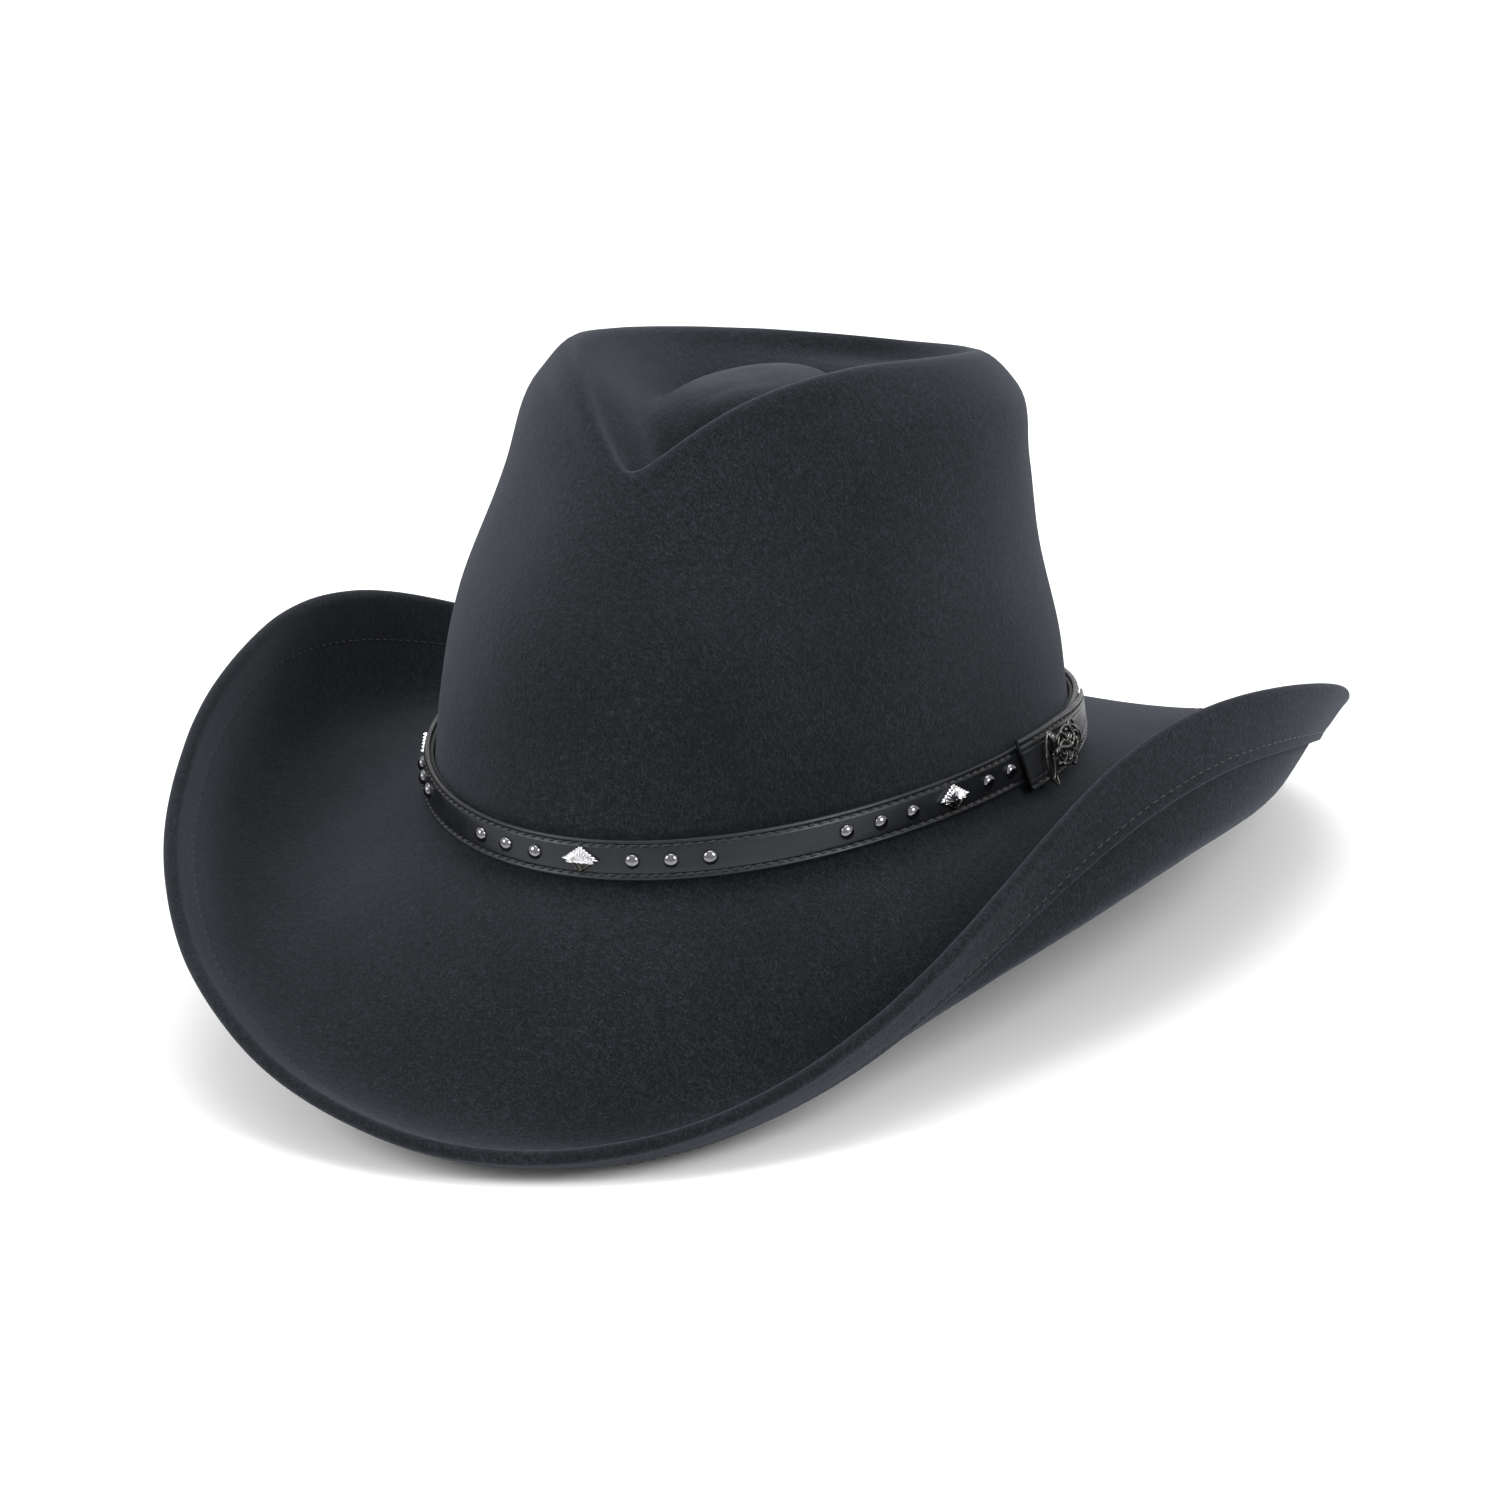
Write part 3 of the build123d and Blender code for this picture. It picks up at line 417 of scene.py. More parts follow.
def metal_material(name, colour, dark, rough):
    """Polished metal, a little darker and duller in patches."""
    material, tree, principled = shader(name, Metallic=1.0)
    place = place_of(tree)
    wear = noise(tree, place, 700, 4, 0.65)
    base = ramp(tree, wear, 0.25, 0.62, dark, colour)
    tree.links.new(base, principled.inputs["Base Color"])
    tree.links.new(remap(tree, wear, 0.2, 0.8, rough + 0.12, rough - 0.03), principled.inputs["Roughness"])
    bump(tree, principled, ((noise(tree, place, 5200, 2, 0.5), 0.08, 0.00003),))
    return material


def antique_material(name):
    """Dark cast metal, bright where it stands out: partly real wear, partly a painted highlight on the
    raised parts.
    """
    material, tree, principled = shader(name, Metallic=1.0)
    place = place_of(tree)
    shape = tree.nodes.new("ShaderNodeNewGeometry")
    # painted highlight: raised, thin parts get a brighter colour from their pointiness, partly the real
    # worn finish and partly the metal's bright highlight lines
    raised_wear_and_highlight = remap(tree, shape.outputs["Pointiness"], 0.53, 0.68, 0.0, 1.0)
    mottled = noise(tree, place, 900, 4, 0.6)
    worn = blend_colours(tree, "MIX", raised_wear_and_highlight, ramp(tree, mottled, 0.35, 0.7, (0.030, 0.029, 0.027, 1),
                                                       (0.09, 0.086, 0.080, 1)), (0.50, 0.49, 0.47, 1))
    tree.links.new(worn, principled.inputs["Base Color"])
    tree.links.new(remap(tree, mottled, 0.3, 0.7, 0.22, 0.45), principled.inputs["Roughness"])
    bump(tree, principled, ((mottled, 0.2, 0.0001),))
    return material


def cloth_material(name, colour, lighter, scale, rough=0.6, sheen=0.3, aniso=0.0, depth=0.00006):
    """Woven cloth: two crossing sets of threads."""
    material, tree, principled = shader(name, Roughness=rough, Sheen_Weight=sheen, Sheen_Roughness=0.4,
                                        Anisotropic=aniso, Specular_IOR_Level=0.45)
    place = place_of(tree)
    warp = node(tree, "ShaderNodeTexWave", Scale=scale, Distortion=0.6, bands_direction="X")
    weft = node(tree, "ShaderNodeTexWave", Scale=scale, Distortion=0.6, bands_direction="Z")
    for wave in (warp, weft):
        tree.links.new(place, wave.inputs["Vector"])
    weave = blend_colours(tree, "MULTIPLY", 1.0, warp.outputs["Color"], weft.outputs["Color"])
    uneven = noise(tree, place, 140, 3, 0.5)
    base = ramp(tree, uneven, 0.35, 0.7, colour, lighter)
    shade = ramp(tree, weave, 0.0, 0.8, (0.6, 0.6, 0.6, 1), (1.2, 1.2, 1.2, 1))
    tree.links.new(blend_colours(tree, "MULTIPLY", 1.0, base, shade), principled.inputs["Base Color"])
    bump(tree, principled, ((weave, 0.4, depth), (uneven, 0.1, 0.0004)))
    return material


FELT_LOOK = felt_material("felt_look", (0.0056, 0.0066, 0.0085, 1), (0.0083, 0.0096, 0.0119, 1))
STRAP_LOOK = leather_material("strap_look", (0.0040, 0.0042, 0.0050, 1), (0.0085, 0.0088, 0.0100, 1), 0.36,
                              coat=0.10)
TAB_LOOK = leather_material("tab_look", (0.0090, 0.0095, 0.0105, 1), (0.016, 0.0165, 0.018, 1), 0.40, 1100,
                            coat=0.08)
SWEAT_LOOK = leather_material("sweatband_look", (0.016, 0.015, 0.014, 1), (0.028, 0.026, 0.024, 1), 0.42)
THREAD_LOOK = cloth_material("thread_look", (0.012, 0.012, 0.013, 1), (0.022, 0.022, 0.023, 1), 2600, 0.55)
BAND_THREAD_LOOK = cloth_material("band_thread_look", (0.003, 0.003, 0.0035, 1), (0.007, 0.007, 0.008, 1),
                                  2600, 0.6)
SILVER_LOOK = metal_material("silver_look", (0.78, 0.78, 0.80, 1), (0.42, 0.42, 0.43, 1), 0.12)
# painted reflection: the studs' metal colour is made dark so they show the dark surroundings that a
# polished stud mirrors
STUD_PAINTED_DARK_REFLECTION_LOOK = metal_material("stud_painted_dark_reflection_look", (0.20, 0.20, 0.21, 1), (0.11, 0.11, 0.115, 1), 0.08)
ANTIQUE_LOOK = antique_material("antique_look")
SATIN_LOOK = cloth_material("satin_look", (0.020, 0.020, 0.023, 1), (0.040, 0.040, 0.045, 1),
                            2400, 0.34, 0.5, 0.4)
PIPING_LOOK = cloth_material("piping_look", (0.016, 0.016, 0.018, 1), (0.030, 0.030, 0.033, 1), 2000, 0.45)
TAPE_LOOK = cloth_material("tape_look", (0.018, 0.018, 0.019, 1), (0.030, 0.030, 0.032, 1), 1100, 0.7)
RIBBON_LOOK = cloth_material("ribbon_look", (0.013, 0.013, 0.015, 1), (0.026, 0.026, 0.029, 1),
                             900, 0.5, 0.4)
REED_LOOK = leather_material("reed_look", (0.014, 0.014, 0.014, 1), (0.022, 0.022, 0.022, 1), 0.30, 2400)
WIRE_LOOK = metal_material("wire_look", (0.55, 0.55, 0.55, 1), (0.30, 0.30, 0.30, 1), 0.30)
BRASS_LOOK = metal_material("brass_look", (0.78, 0.60, 0.32, 1), (0.45, 0.33, 0.16, 1), 0.28)


def film_material():
    material, tree, principled = shader("film_look", Roughness=0.08, Transmission_Weight=1.0, IOR=1.45,
                                        Base_Color=(0.93, 0.95, 0.95, 1))
    place = place_of(tree)
    bump(tree, principled, ((noise(tree, place, 60, 3, 0.5), 0.25, 0.0005),))
    return material


FILM_LOOK = film_material()
for name, look in (("brim_wire", WIRE_LOOK), ("wire_ferrule", BRASS_LOOK), ("band_backing", TAPE_LOOK),
                   ("tip_shield", FILM_LOOK)):
    cad_node = frame["nodes"][name]
    cad_node.data.materials.clear()
    cad_node.data.materials.append(look)

# ---- felt ----------------------------------------------------------------------------------------
HEM_ROW = LINE_STEPS[0] + LINE_STEPS[1]
SEAM_ROW = LINE_STEPS[0] + HEM_SEAM * LINE_STEPS[1]


def unevenness(p, size, count=14):
    """A smooth, gentle, fixed unevenness over points, with waves of about this length."""
    total = 0.0
    for k in range(count):
        way = chance.normal(size=3)
        way *= chance.uniform(0.6, 1.5) * 2 * pi / size / np.linalg.norm(way)
        total = total + np.sin(p @ way + chance.uniform(0, 2 * pi))
    return total / count**0.5


distance = np.cumsum(np.linalg.norm(np.diff(TOP, axis=0, prepend=TOP[:1]), axis=-1), axis=0)
uneven = 0.20 * unevenness(TOP, 60) + 0.03 * unevenness(TOP, 22)
seam_at = distance[LINE_STEPS[0]] + HEM_SEAM * (distance[HEM_ROW] - distance[LINE_STEPS[0]])
seam_dip = 0.10 * np.exp(-(((distance - seam_at) / 1.8) ** 2))
outer = TOP + OUTWARD * (uneven - seam_dip)[..., None]
inner = TOP - OUTWARD * (FELT - uneven)[..., None]
under_dip = 0.22 * np.exp(-(((distance - seam_at) / 1.3) ** 2))
hem_side = TOP[:HEM_ROW + 1] - OUTWARD[:HEM_ROW + 1] * (2 * EDGE_ROLL - uneven[:HEM_ROW + 1]
                                                      - under_dip[:HEM_ROW + 1])[..., None]
roll = [outer[0] + EDGE_ROLL * ((cos(turn) - 1) * OUTWARD[0] - sin(turn) * ACROSS[0])
        for turn in [pi * k / 10 for k in range(1, 10)]]
lip = [hem_side[-1] * (1 - s) + inner[HEM_ROW] * s + 0.55 * sin(pi * s) * ACROSS[HEM_ROW]
       for s in (0.12, 0.35, 0.65, 0.9)]


def to_middle(hoop, level):
    """Hoops that close the mound's top towards its middle."""
    middle = points(hoop[:, 0].mean(), hoop[:, 1].mean(), level)
    return [hoop * (1 - s) + middle * s for s in (0.35, 0.7, 0.93)]


skin = (list(reversed(to_middle(outer[-1], outer[-1][:, 2].mean() + 0.15))) + list(outer[::-1]) + roll
        + list(hem_side) + lip + list(inner[HEM_ROW + 1:]) + to_middle(inner[-1], inner[-1][:, 2].mean()))
skin = np.array(skin)
verts = skin.reshape(-1, 3)
faces = grid_faces(len(skin), AROUND)[:, ::-1].tolist()
ends = np.array([skin[0].mean(0), skin[-1].mean(0)])
verts = np.concatenate((verts, ends))
last = (len(skin) - 1) * AROUND
for k in range(AROUND):
    after = (k + 1) % AROUND
    faces.append([len(verts) - 2, k, after])
    faces.append([len(verts) - 1, last + after, last + k])
piece("felt_crown_and_brim", verts, faces, FELT_LOOK, "hat", ["felt_body"])


# ---- thread --------------------------------------------------------------------------------------
def stitch_shape(length, thick, sink, sides=7, rings=9):
    """One stitch along X, its ends going down into the cloth; Z is up from the cloth."""
    shape = []
    for k in range(rings):
        s = 2 * k / (rings - 1) - 1
        thin = thick * (0.55 + 0.45 * (1 - abs(s) ** 3))
        rise = thick * 0.85 - (sink + thick) * abs(s) ** 2.6
        for side in range(sides):
            turn = 2 * pi * side / sides
            shape.append((s * length / 2, thin * cos(turn), rise + thin * sin(turn)))
    return np.array(shape), tube_faces(rings, sides)


def hoop_spots(hoop, outward, pitch):
    """Evenly spaced places round a closed hoop: origins and directions."""
    closed = np.vstack((hoop, hoop[:1]))
    length = np.concatenate(([0], np.cumsum(np.linalg.norm(np.diff(closed, axis=0), axis=1))))
    count = int(length[-1] / pitch)
    at = np.arange(count) * length[-1] / count

    def pick(values):
        ring = np.vstack((values, values[:1]))
        return np.stack([np.interp(at, length, ring[:, k]) for k in range(3)], -1)

    origins, normals = pick(hoop), unit(pick(outward))
    ahead = unit(np.roll(origins, -1, 0) - np.roll(origins, 1, 0))
    side = unit(np.cross(normals, ahead))
    return origins, ahead, side, unit(np.cross(ahead, side))


def between_rows(grid, row):
    """The hoop at a row of the grid that need not be whole."""
    low_row = int(row)
    return grid[low_row] * (1 - row + low_row) + grid[low_row + 1] * (row - low_row)


shape, shape_faces = stitch_shape(*HEM_STITCH)
upper = hoop_spots(between_rows(outer, SEAM_ROW), between_rows(OUTWARD, SEAM_ROW), HEM_PITCH)
lower = hoop_spots(between_rows(hem_side, SEAM_ROW), -between_rows(OUTWARD, SEAM_ROW), HEM_PITCH)
stitches = [np.concatenate(pair) for pair in zip(upper, lower)]
verts, faces = copies(shape, shape_faces, *stitches)
piece("hem_stitches", verts, faces, THREAD_LOOK, "hat", ["brim_edge_stitching"])


# ---- band: strap, tab, stitches ------------------------------------------------------------------
fine_turns = np.linspace(-2 * pi, 2 * pi, 8001)
strap_line = foot(fine_turns, STRAP_OUT)
strap_run = np.concatenate(([0], np.cumsum(np.linalg.norm(np.diff(strap_line, axis=0), axis=1))))
strap_run -= np.interp(0, fine_turns, strap_run)


def turn_at(length):
    """The angle round the hat at this distance along the strap from the front centre."""
    return np.interp(length, strap_run, fine_turns)


def band_spots(lengths, out, up):
    """Places on the band's face: origins and directions along it, up it and outwards."""
    turns = turn_at(np.asarray(lengths, float))
    here = foot(turns, out - WALL_LEAN * up, up)
    side_out = out - WALL_LEAN * up
    ahead = unit(foot(turns + 0.002, side_out, up) - foot(turns - 0.002, side_out, up))
    above = unit(foot(turns, out - WALL_LEAN * (up + 1), up + 1) - here)
    outward = unit(np.cross(ahead, above))
    return here, ahead, unit(np.cross(outward, ahead)), outward


def strap_section(inner_face, outer_face, low_edge, high_edge, seam, creases=(), round_off=0.5):
    """Outline of a leather strap, as (out, up) pairs: beaded edges, a sunk seam by each edge, creases."""
    half, middle = (high_edge - low_edge) / 2, (high_edge + low_edge) / 2
    outline = []
    for k in range(61):
        s = 2 * k / 60 - 1
        up = middle + s * (half - round_off * 0.6)
        near = half - abs(up - middle)
        sunk = 0.34 * exp(-(((near - seam) / 0.42) ** 2))
        for crease in creases:
            sunk += 0.22 * exp(-(((near - crease) / 0.26) ** 2))
        bead = 0.10 * exp(-(((near - 0.75) / 0.25) ** 2))
        padding = 0.10 * min(1.0, max(0.0, (near - seam) / 2.0))
        outline.append((outer_face - 0.12 - sunk + bead + padding, up))
    thick = outer_face - 0.2 - inner_face
    turned = [(outer_face - 0.2 - thick * (1 - cos(turn)) / 2, round_off * 0.6 * (1 - sin(turn)))
              for turn in [pi * k / 7 for k in range(1, 7)]]
    outline += [(out, high_edge - near) for out, near in turned]
    outline += [(inner_face, up) for up in (high_edge - round_off, middle, low_edge + round_off)]
    return outline + [(out, low_edge + near) for out, near in turned[::-1]]


def swept(outline, lengths, height=None, shear=None, thin=1.0):
    """A strip with this outline at these lengths along the band.

    height scales it about its middle, and thin its thickness from its inner face.
    """
    inner_face = min(out for out, up in outline)
    middle = (max(up for out, up in outline) + min(up for out, up in outline)) / 2
    grid = []
    for out, up in outline:
        level = middle + (up - middle) * (1.0 if height is None else height)
        at = lengths if shear is None else lengths + shear(lengths, level)
        grid.append(foot(turn_at(at), inner_face + (out - inner_face) * thin - WALL_LEAN * level, level))
    grid = np.array(grid).transpose(1, 0, 2)
    return grid.reshape(-1, 3), tube_faces(len(lengths), len(outline))


STRAP_LENGTH = np.interp(pi, fine_turns, strap_run) * 2
JOIN = (TAB_FROM + TAB_TO) / 2
strap_lengths = np.linspace(JOIN - STRAP_LENGTH + 0.4, JOIN - 0.4, 700)
verts, faces = swept(strap_section(STRAP_IN, STRAP_OUT, STRAP_LOW, STRAP_HIGH, STITCH_EDGE), strap_lengths)
piece("strap_leather", verts, faces, STRAP_LOOK, "hatband", ["band_strap"])


shape, shape_faces = stitch_shape(*STRAP_STITCH)
for name, up in (("strap_stitching_lower", STRAP_LOW + STITCH_EDGE),
                 ("strap_stitching_upper", STRAP_HIGH - STITCH_EDGE)):
    lengths = np.arange(TAB_TO + 1.5 - STRAP_LENGTH, TAB_FROM - 1.0, BAND_PITCH)
    here, ahead, above, outward = band_spots(lengths, STRAP_OUT - 0.40, up)
    verts, faces = copies(shape, shape_faces, here, unit(ahead + 0.10 * above), above, outward)
    piece(name + "_threads", verts, faces, BAND_THREAD_LOOK, "hatband", [name])

# tab: flared at its front end, then narrowing to the back
tab_lengths = np.linspace(TAB_FROM + 0.3, TAB_TO - 0.3, 160)
tab_share = (tab_lengths - TAB_FROM) / (TAB_TO - TAB_FROM)


def tab_height(share):
    return 1 - 0.42 * np.clip((share - 0.30) / 0.70, 0, 1) ** 1.3


def tab_thin(share):
    return 1 - 0.60 * np.clip((share - 0.45) / 0.55, 0, 1) ** 1.5


def tab_flare(lengths, level):
    """How far the front end is cut back: nothing at its top corner, most at its bottom."""
    near = np.clip(1 - (lengths - TAB_FROM) / 14, 0, 1)
    return 5.0 * near * np.clip((TAB_HIGH - level) / (TAB_HIGH - TAB_LOW), 0, 1) ** 1.5


verts, faces = swept(strap_section(TAB_IN, TAB_OUT, TAB_LOW, TAB_HIGH, 1.6, (3.4,), 0.6), tab_lengths,
                     tab_height(tab_share), tab_flare, tab_thin(tab_share))
piece("tab_leather", verts, faces, TAB_LOOK, "hatband", ["band_tab"])
lengths = np.arange(TAB_FROM + 9, TAB_TO - 4, BAND_PITCH)
shares = (lengths - TAB_FROM) / (TAB_TO - TAB_FROM)
thread_outs = TAB_IN + (TAB_OUT - TAB_IN) * tab_thin(shares) - SUNK
TAB_MIDDLE, TAB_HALF = (TAB_LOW + TAB_HIGH) / 2, (TAB_HIGH - TAB_LOW) / 2
shape, shape_faces = stitch_shape(*TAB_STITCH)
tab_parts = []
for side in (-1, 1):
    rows = [band_spots([along], out, TAB_MIDDLE + side * (TAB_HALF - 1.6) * height)
            for along, out, height in zip(lengths, thread_outs, tab_height(shares))]
    tab_parts.append([np.concatenate(values) for values in zip(*rows)])
merged = [np.concatenate(pair) for pair in zip(*tab_parts)]
verts, faces = copies(shape, shape_faces, *merged)
piece("tab_threads", verts, faces, BAND_THREAD_LOOK, "hatband", ["tab_stitching"])

# studs
GROUPS = [GROUP_FIRST + GROUP_PITCH * group for group in (-3, -2, -1, 0, 1)]
STUDS = [middle + side * away for middle in GROUPS for side in (-1, 1) for away in GROUP_STUDS
         if not TAB_FROM < middle + side * away < TAB_TO]
BAND_MIDDLE = (STRAP_LOW + STRAP_HIGH) / 2


def turned_shape(profile, sides=32):
    """A solid of revolution about Z from (radius, level) pairs, the last one on the axis."""
    shape = [(r * cos(2 * pi * k / sides), r * sin(2 * pi * k / sides), z)
             for r, z in profile[:-1] for k in range(sides)]
    shape.append((0, 0, profile[-1][1]))
    made = grid_faces(len(profile) - 1, sides).tolist()
    made.append(list(range(sides))[::-1])
    base = (len(profile) - 2) * sides
    made += [[base + k, base + (k + 1) % sides, len(shape) - 1] for k in range(sides)]
    return np.array(shape), made


radius = STUD / 2
profile = [(radius * 0.9, -0.3), (radius, -0.1), (radius, 0.12), (radius * 0.985, 0.24)]
profile += [(radius * 0.97 * cos(t), 0.22 + (STUD_HEIGHT - 0.22) * sin(t))
            for t in np.linspace(0.08, pi / 2, 10)]
shape, shape_faces = turned_shape(profile)
here, ahead, above, outward = band_spots(STUDS, STRAP_OUT + 0.05, BAND_MIDDLE)
verts, faces = copies(shape, shape_faces, here, ahead, above, outward)
piece("domed_studs", verts, faces, STUD_PAINTED_DARK_REFLECTION_LOOK, "hatband", ["round_studs"])


# diamonds: a polished fan of rays over a sunk, dark leaf, in a raised diamond rim
def diamond_shape(across=72, high=52):
    """Points and faces of one diamond mount."""
    grid = []
    for j in range(high + 1):
        v = 2 * j / high - 1
        for i in range(across + 1):
            u = 2 * i / across - 1
            x, y = u * (1 - abs(v)) * CONCHO_LONG / 2, v * CONCHO_HIGH / 2
            inside = 1 - abs(x) / (CONCHO_LONG / 2) - abs(y) / (CONCHO_HIGH / 2)
            rim = 0.30 * exp(-(((inside - 0.10) / 0.07) ** 2))
            turn, far = atan2(y + 1.15, x), hypot(x, y + 1.15)
            level = 0.55 + 0.75 * min(1.0, max(0.0, inside) * 2.2) ** 0.7
            if y > -1.0:
                level += 0.26 * cos(turn * 24) * min(1.0, far / 1.6)
            else:
                leaf = 0.5 * exp(-((x / 1.5) ** 2)) * abs(cos(x * 1.9 + y * 1.2))
                level += leaf - 0.55
            grid.append((x, y, max(0.15, level + rim)))
    made = grid_faces(high + 1, across + 1, closed=False).tolist()
    count = len(grid)
    border = ([(0, i) for i in range(0, across + 1)] + [(j, across) for j in range(1, high + 1)]
              + [(high, i) for i in range(across - 1, -1, -1)] + [(j, 0) for j in range(high - 1, 0, -1)])
    border = [j * (across + 1) + i for j, i in border]
    grid += [(grid[k][0], grid[k][1], -0.05) for k in border]
    for k in range(len(border)):
        after = (k + 1) % len(border)
        made.append([border[k], count + k, count + after, border[after]])
    made.append([count + k for k in range(len(border))][::-1])
    return np.array(grid), made


shape, shape_faces = diamond_shape()
here, ahead, above, outward = band_spots(GROUPS, STRAP_OUT + 0.12, BAND_MIDDLE)
verts, faces = copies(shape, shape_faces, here, ahead, above, outward)
diamonds = piece("fan_diamonds", verts, faces, SILVER_LOOK, "hatband",
                 ["diamond_conchos"])
diamonds.data.materials.append(ANTIQUE_LOOK)
sunk = [int(np.mean(shape[f, 1]) < -1.0 and abs(np.mean(shape[f, 0])) < 3.2) for f in shape_faces]
diamonds.data.polygons.foreach_set("material_index", sunk * len(GROUPS))

# ---- inside: sweatband, reed, lining -------------------------------------------------------------
mid = (SWEAT_IN + SWEAT_OUT) / 2
half = (SWEAT_OUT - SWEAT_IN) / 2
outline = [(mid - half * cos(t), SWEAT_HIGH - half + half * sin(t)) for t in np.linspace(0, pi, 7)]
outline += [(SWEAT_OUT, up) for up in np.linspace(SWEAT_HIGH - 2, 4.5, 10)]
outline += [(SWEAT_OUT, 3.0), (SWEAT_OUT + 0.05, 1.2), (SWEAT_OUT, -0.9), (mid, -1.35)]
outline += [(SWEAT_IN + out, up) for out, up in
            ((-0.25, -0.9), (-0.45, 0.0), (-0.30, 1.2), (0, 2.3), (0.12, SEAM_LEVEL), (0, 4.6))]
outline += [(SWEAT_IN, up) for up in np.linspace(6, SWEAT_HIGH - 2, 10)]
turns = np.linspace(pi + 0.005, 3 * pi - 0.005, 480)
wavy = 0.25 * (np.sin(turns * 9 + 1) + 0.6 * np.sin(turns * 23 + 2))
grid = np.array([foot(turns, out - SWEAT_LEAN * up + wavy * max(0.0, up - 8) / 24, up)
                 for out, up in outline])
piece("sweatband_leather", grid.transpose(1, 0, 2).reshape(-1, 3), tube_faces(len(turns), len(outline)),
      SWEAT_LOOK, "hat", ["sweatband"])


def loop_tube(line, outward, section, closed=True, twist=0.0):
    """A solid along a line of points. section gives its radius by place and side. It may be twisted."""
    count, sides = len(line), 12
    if closed:
        ahead = unit(np.roll(line, -1, 0) - np.roll(line, 1, 0))
    else:
        ahead = unit(np.gradient(line, axis=0))
    side = unit(np.cross(outward, ahead))
    above = unit(np.cross(ahead, side))
    turns = 2 * pi * np.arange(sides) / sides
    at = np.arange(count) / (count if closed else count - 1)
    size = section(at[:, None], (turns[None] - twist * 2 * pi * at[:, None]))
    grid = (line[:, None] + side[:, None] * (size * np.cos(turns))[..., None]
            + above[:, None] * (size * np.sin(turns))[..., None])
    return grid.reshape(-1, 3), tube_faces(count, sides, closed)


def joined(parts):
    """Several (points, faces) as one."""
    verts, faces, count = [], [], 0
    for part_verts, part_faces in parts:
        verts.append(part_verts)
        faces += [[v + count for v in f] for f in part_faces]
        count += len(part_verts)
    return np.concatenate(verts), faces


def crown_outward(turns):
    return unit(foot(turns, 1.0) - foot(turns, 0.0))


# the reed: a cord in its leather roll, and the stitches that hold the roll
reed_turns = np.linspace(0, 2 * pi, 720, endpoint=False)
reed_line = foot(reed_turns, (SWEAT_IN + SWEAT_OUT) / 2, REED_LEVEL)
verts, faces = loop_tube(reed_line, crown_outward(reed_turns),
                         lambda at, turn: 0.55 + 0.02 * np.cos(2 * turn))
piece("reed_cord", verts, faces, REED_LOOK, "hat", ["sweatband_reed"])

seam_turns = np.linspace(0, 2 * pi, 1200, endpoint=False)
seam_line = foot(seam_turns, SWEAT_IN - SWEAT_LEAN * SEAM_LEVEL + 0.02, SEAM_LEVEL)
shape, shape_faces = stitch_shape(*SWEAT_STITCH)
verts, faces = copies(shape, shape_faces, *hoop_spots(seam_line, -crown_outward(seam_turns), SWEAT_PITCH))
piece("sweatband_stitches", verts, faces, THREAD_LOOK, "hat", ["sweatband_stitching"])

# the tape over the sweatband's back seam, with its zigzag of thread
TAPE_HALF = 0.035                 # half the tape's width, as an angle
tape_turns = np.linspace(pi - TAPE_HALF, pi + TAPE_HALF, 25)
tape_levels = np.linspace(SEAM_LEVEL + 1.6, SWEAT_HIGH - 1.0, 60)
tape, tape_back = [], []
for up in tape_levels:
    out = SWEAT_IN - SWEAT_LEAN * up
    crown_of_tape = [0.42 * max(0.0, 1 - abs(t - pi) / TAPE_HALF) ** 0.3 for t in tape_turns]
    tape.append([foot(np.array(t), out - 0.1 - rise, up) for t, rise in zip(tape_turns, crown_of_tape)])
    tape_back.append([foot(np.array(t), out - 0.06, up) for t in tape_turns])


def slab(front, back):
    """A thin solid between two grids of points of the same size."""
    front, back = np.array(front), np.array(back)
    rows, columns = front.shape[:2]
    made = grid_faces(rows, columns, closed=False).tolist()
    count = rows * columns
    made += [[v + count for v in f[::-1]] for f in made]
    rim = list(range(columns)) + [r * columns + columns - 1 for r in range(1, rows)]
    rim += [(rows - 1) * columns + c for c in range(columns - 2, -1, -1)]
    rim += [r * columns for r in range(rows - 2, 0, -1)]
    for k in range(len(rim)):
        a, b = rim[k], rim[(k + 1) % len(rim)]
        made.append([b, a, a + count, b + count])
    return np.concatenate((front.reshape(-1, 3), back.reshape(-1, 3))), made


parts = [slab(tape, tape_back)]
zigzag_levels = np.arange(SEAM_LEVEL + 3.0, SWEAT_HIGH - 2.0, TAPE_PITCH)
shape, shape_faces = stitch_shape(*TAPE_STITCH)
ends = np.array([foot(np.array(pi + (0.012 if k % 2 else -0.012)), SWEAT_IN - 0.50 - SWEAT_LEAN * up, up)
                 for k, up in enumerate(zigzag_levels)])
middles, ways = (ends[1:] + ends[:-1]) / 2, unit(ends[1:] - ends[:-1])
inward = -crown_outward(np.full(len(middles), pi))
parts.append(copies(shape, shape_faces, middles, ways, unit(np.cross(inward, ways)), inward))
verts, faces = joined(parts)
piece("seam_tape_with_zigzag", verts, faces, TAPE_LOOK, "hat", ["sweatband_seam_tape"])

# the small ribbon bow at the back of the sweatband
bow_at = foot(np.array(pi), SWEAT_IN - 0.2 - SWEAT_LEAN * BOW_LEVEL, BOW_LEVEL)
bow_in = -crown_outward(np.array([pi]))[0]
bow_side = np.array([1.0, 0.0, 0.0])
bow_up = np.array([0.0, 0.0, 1.0])


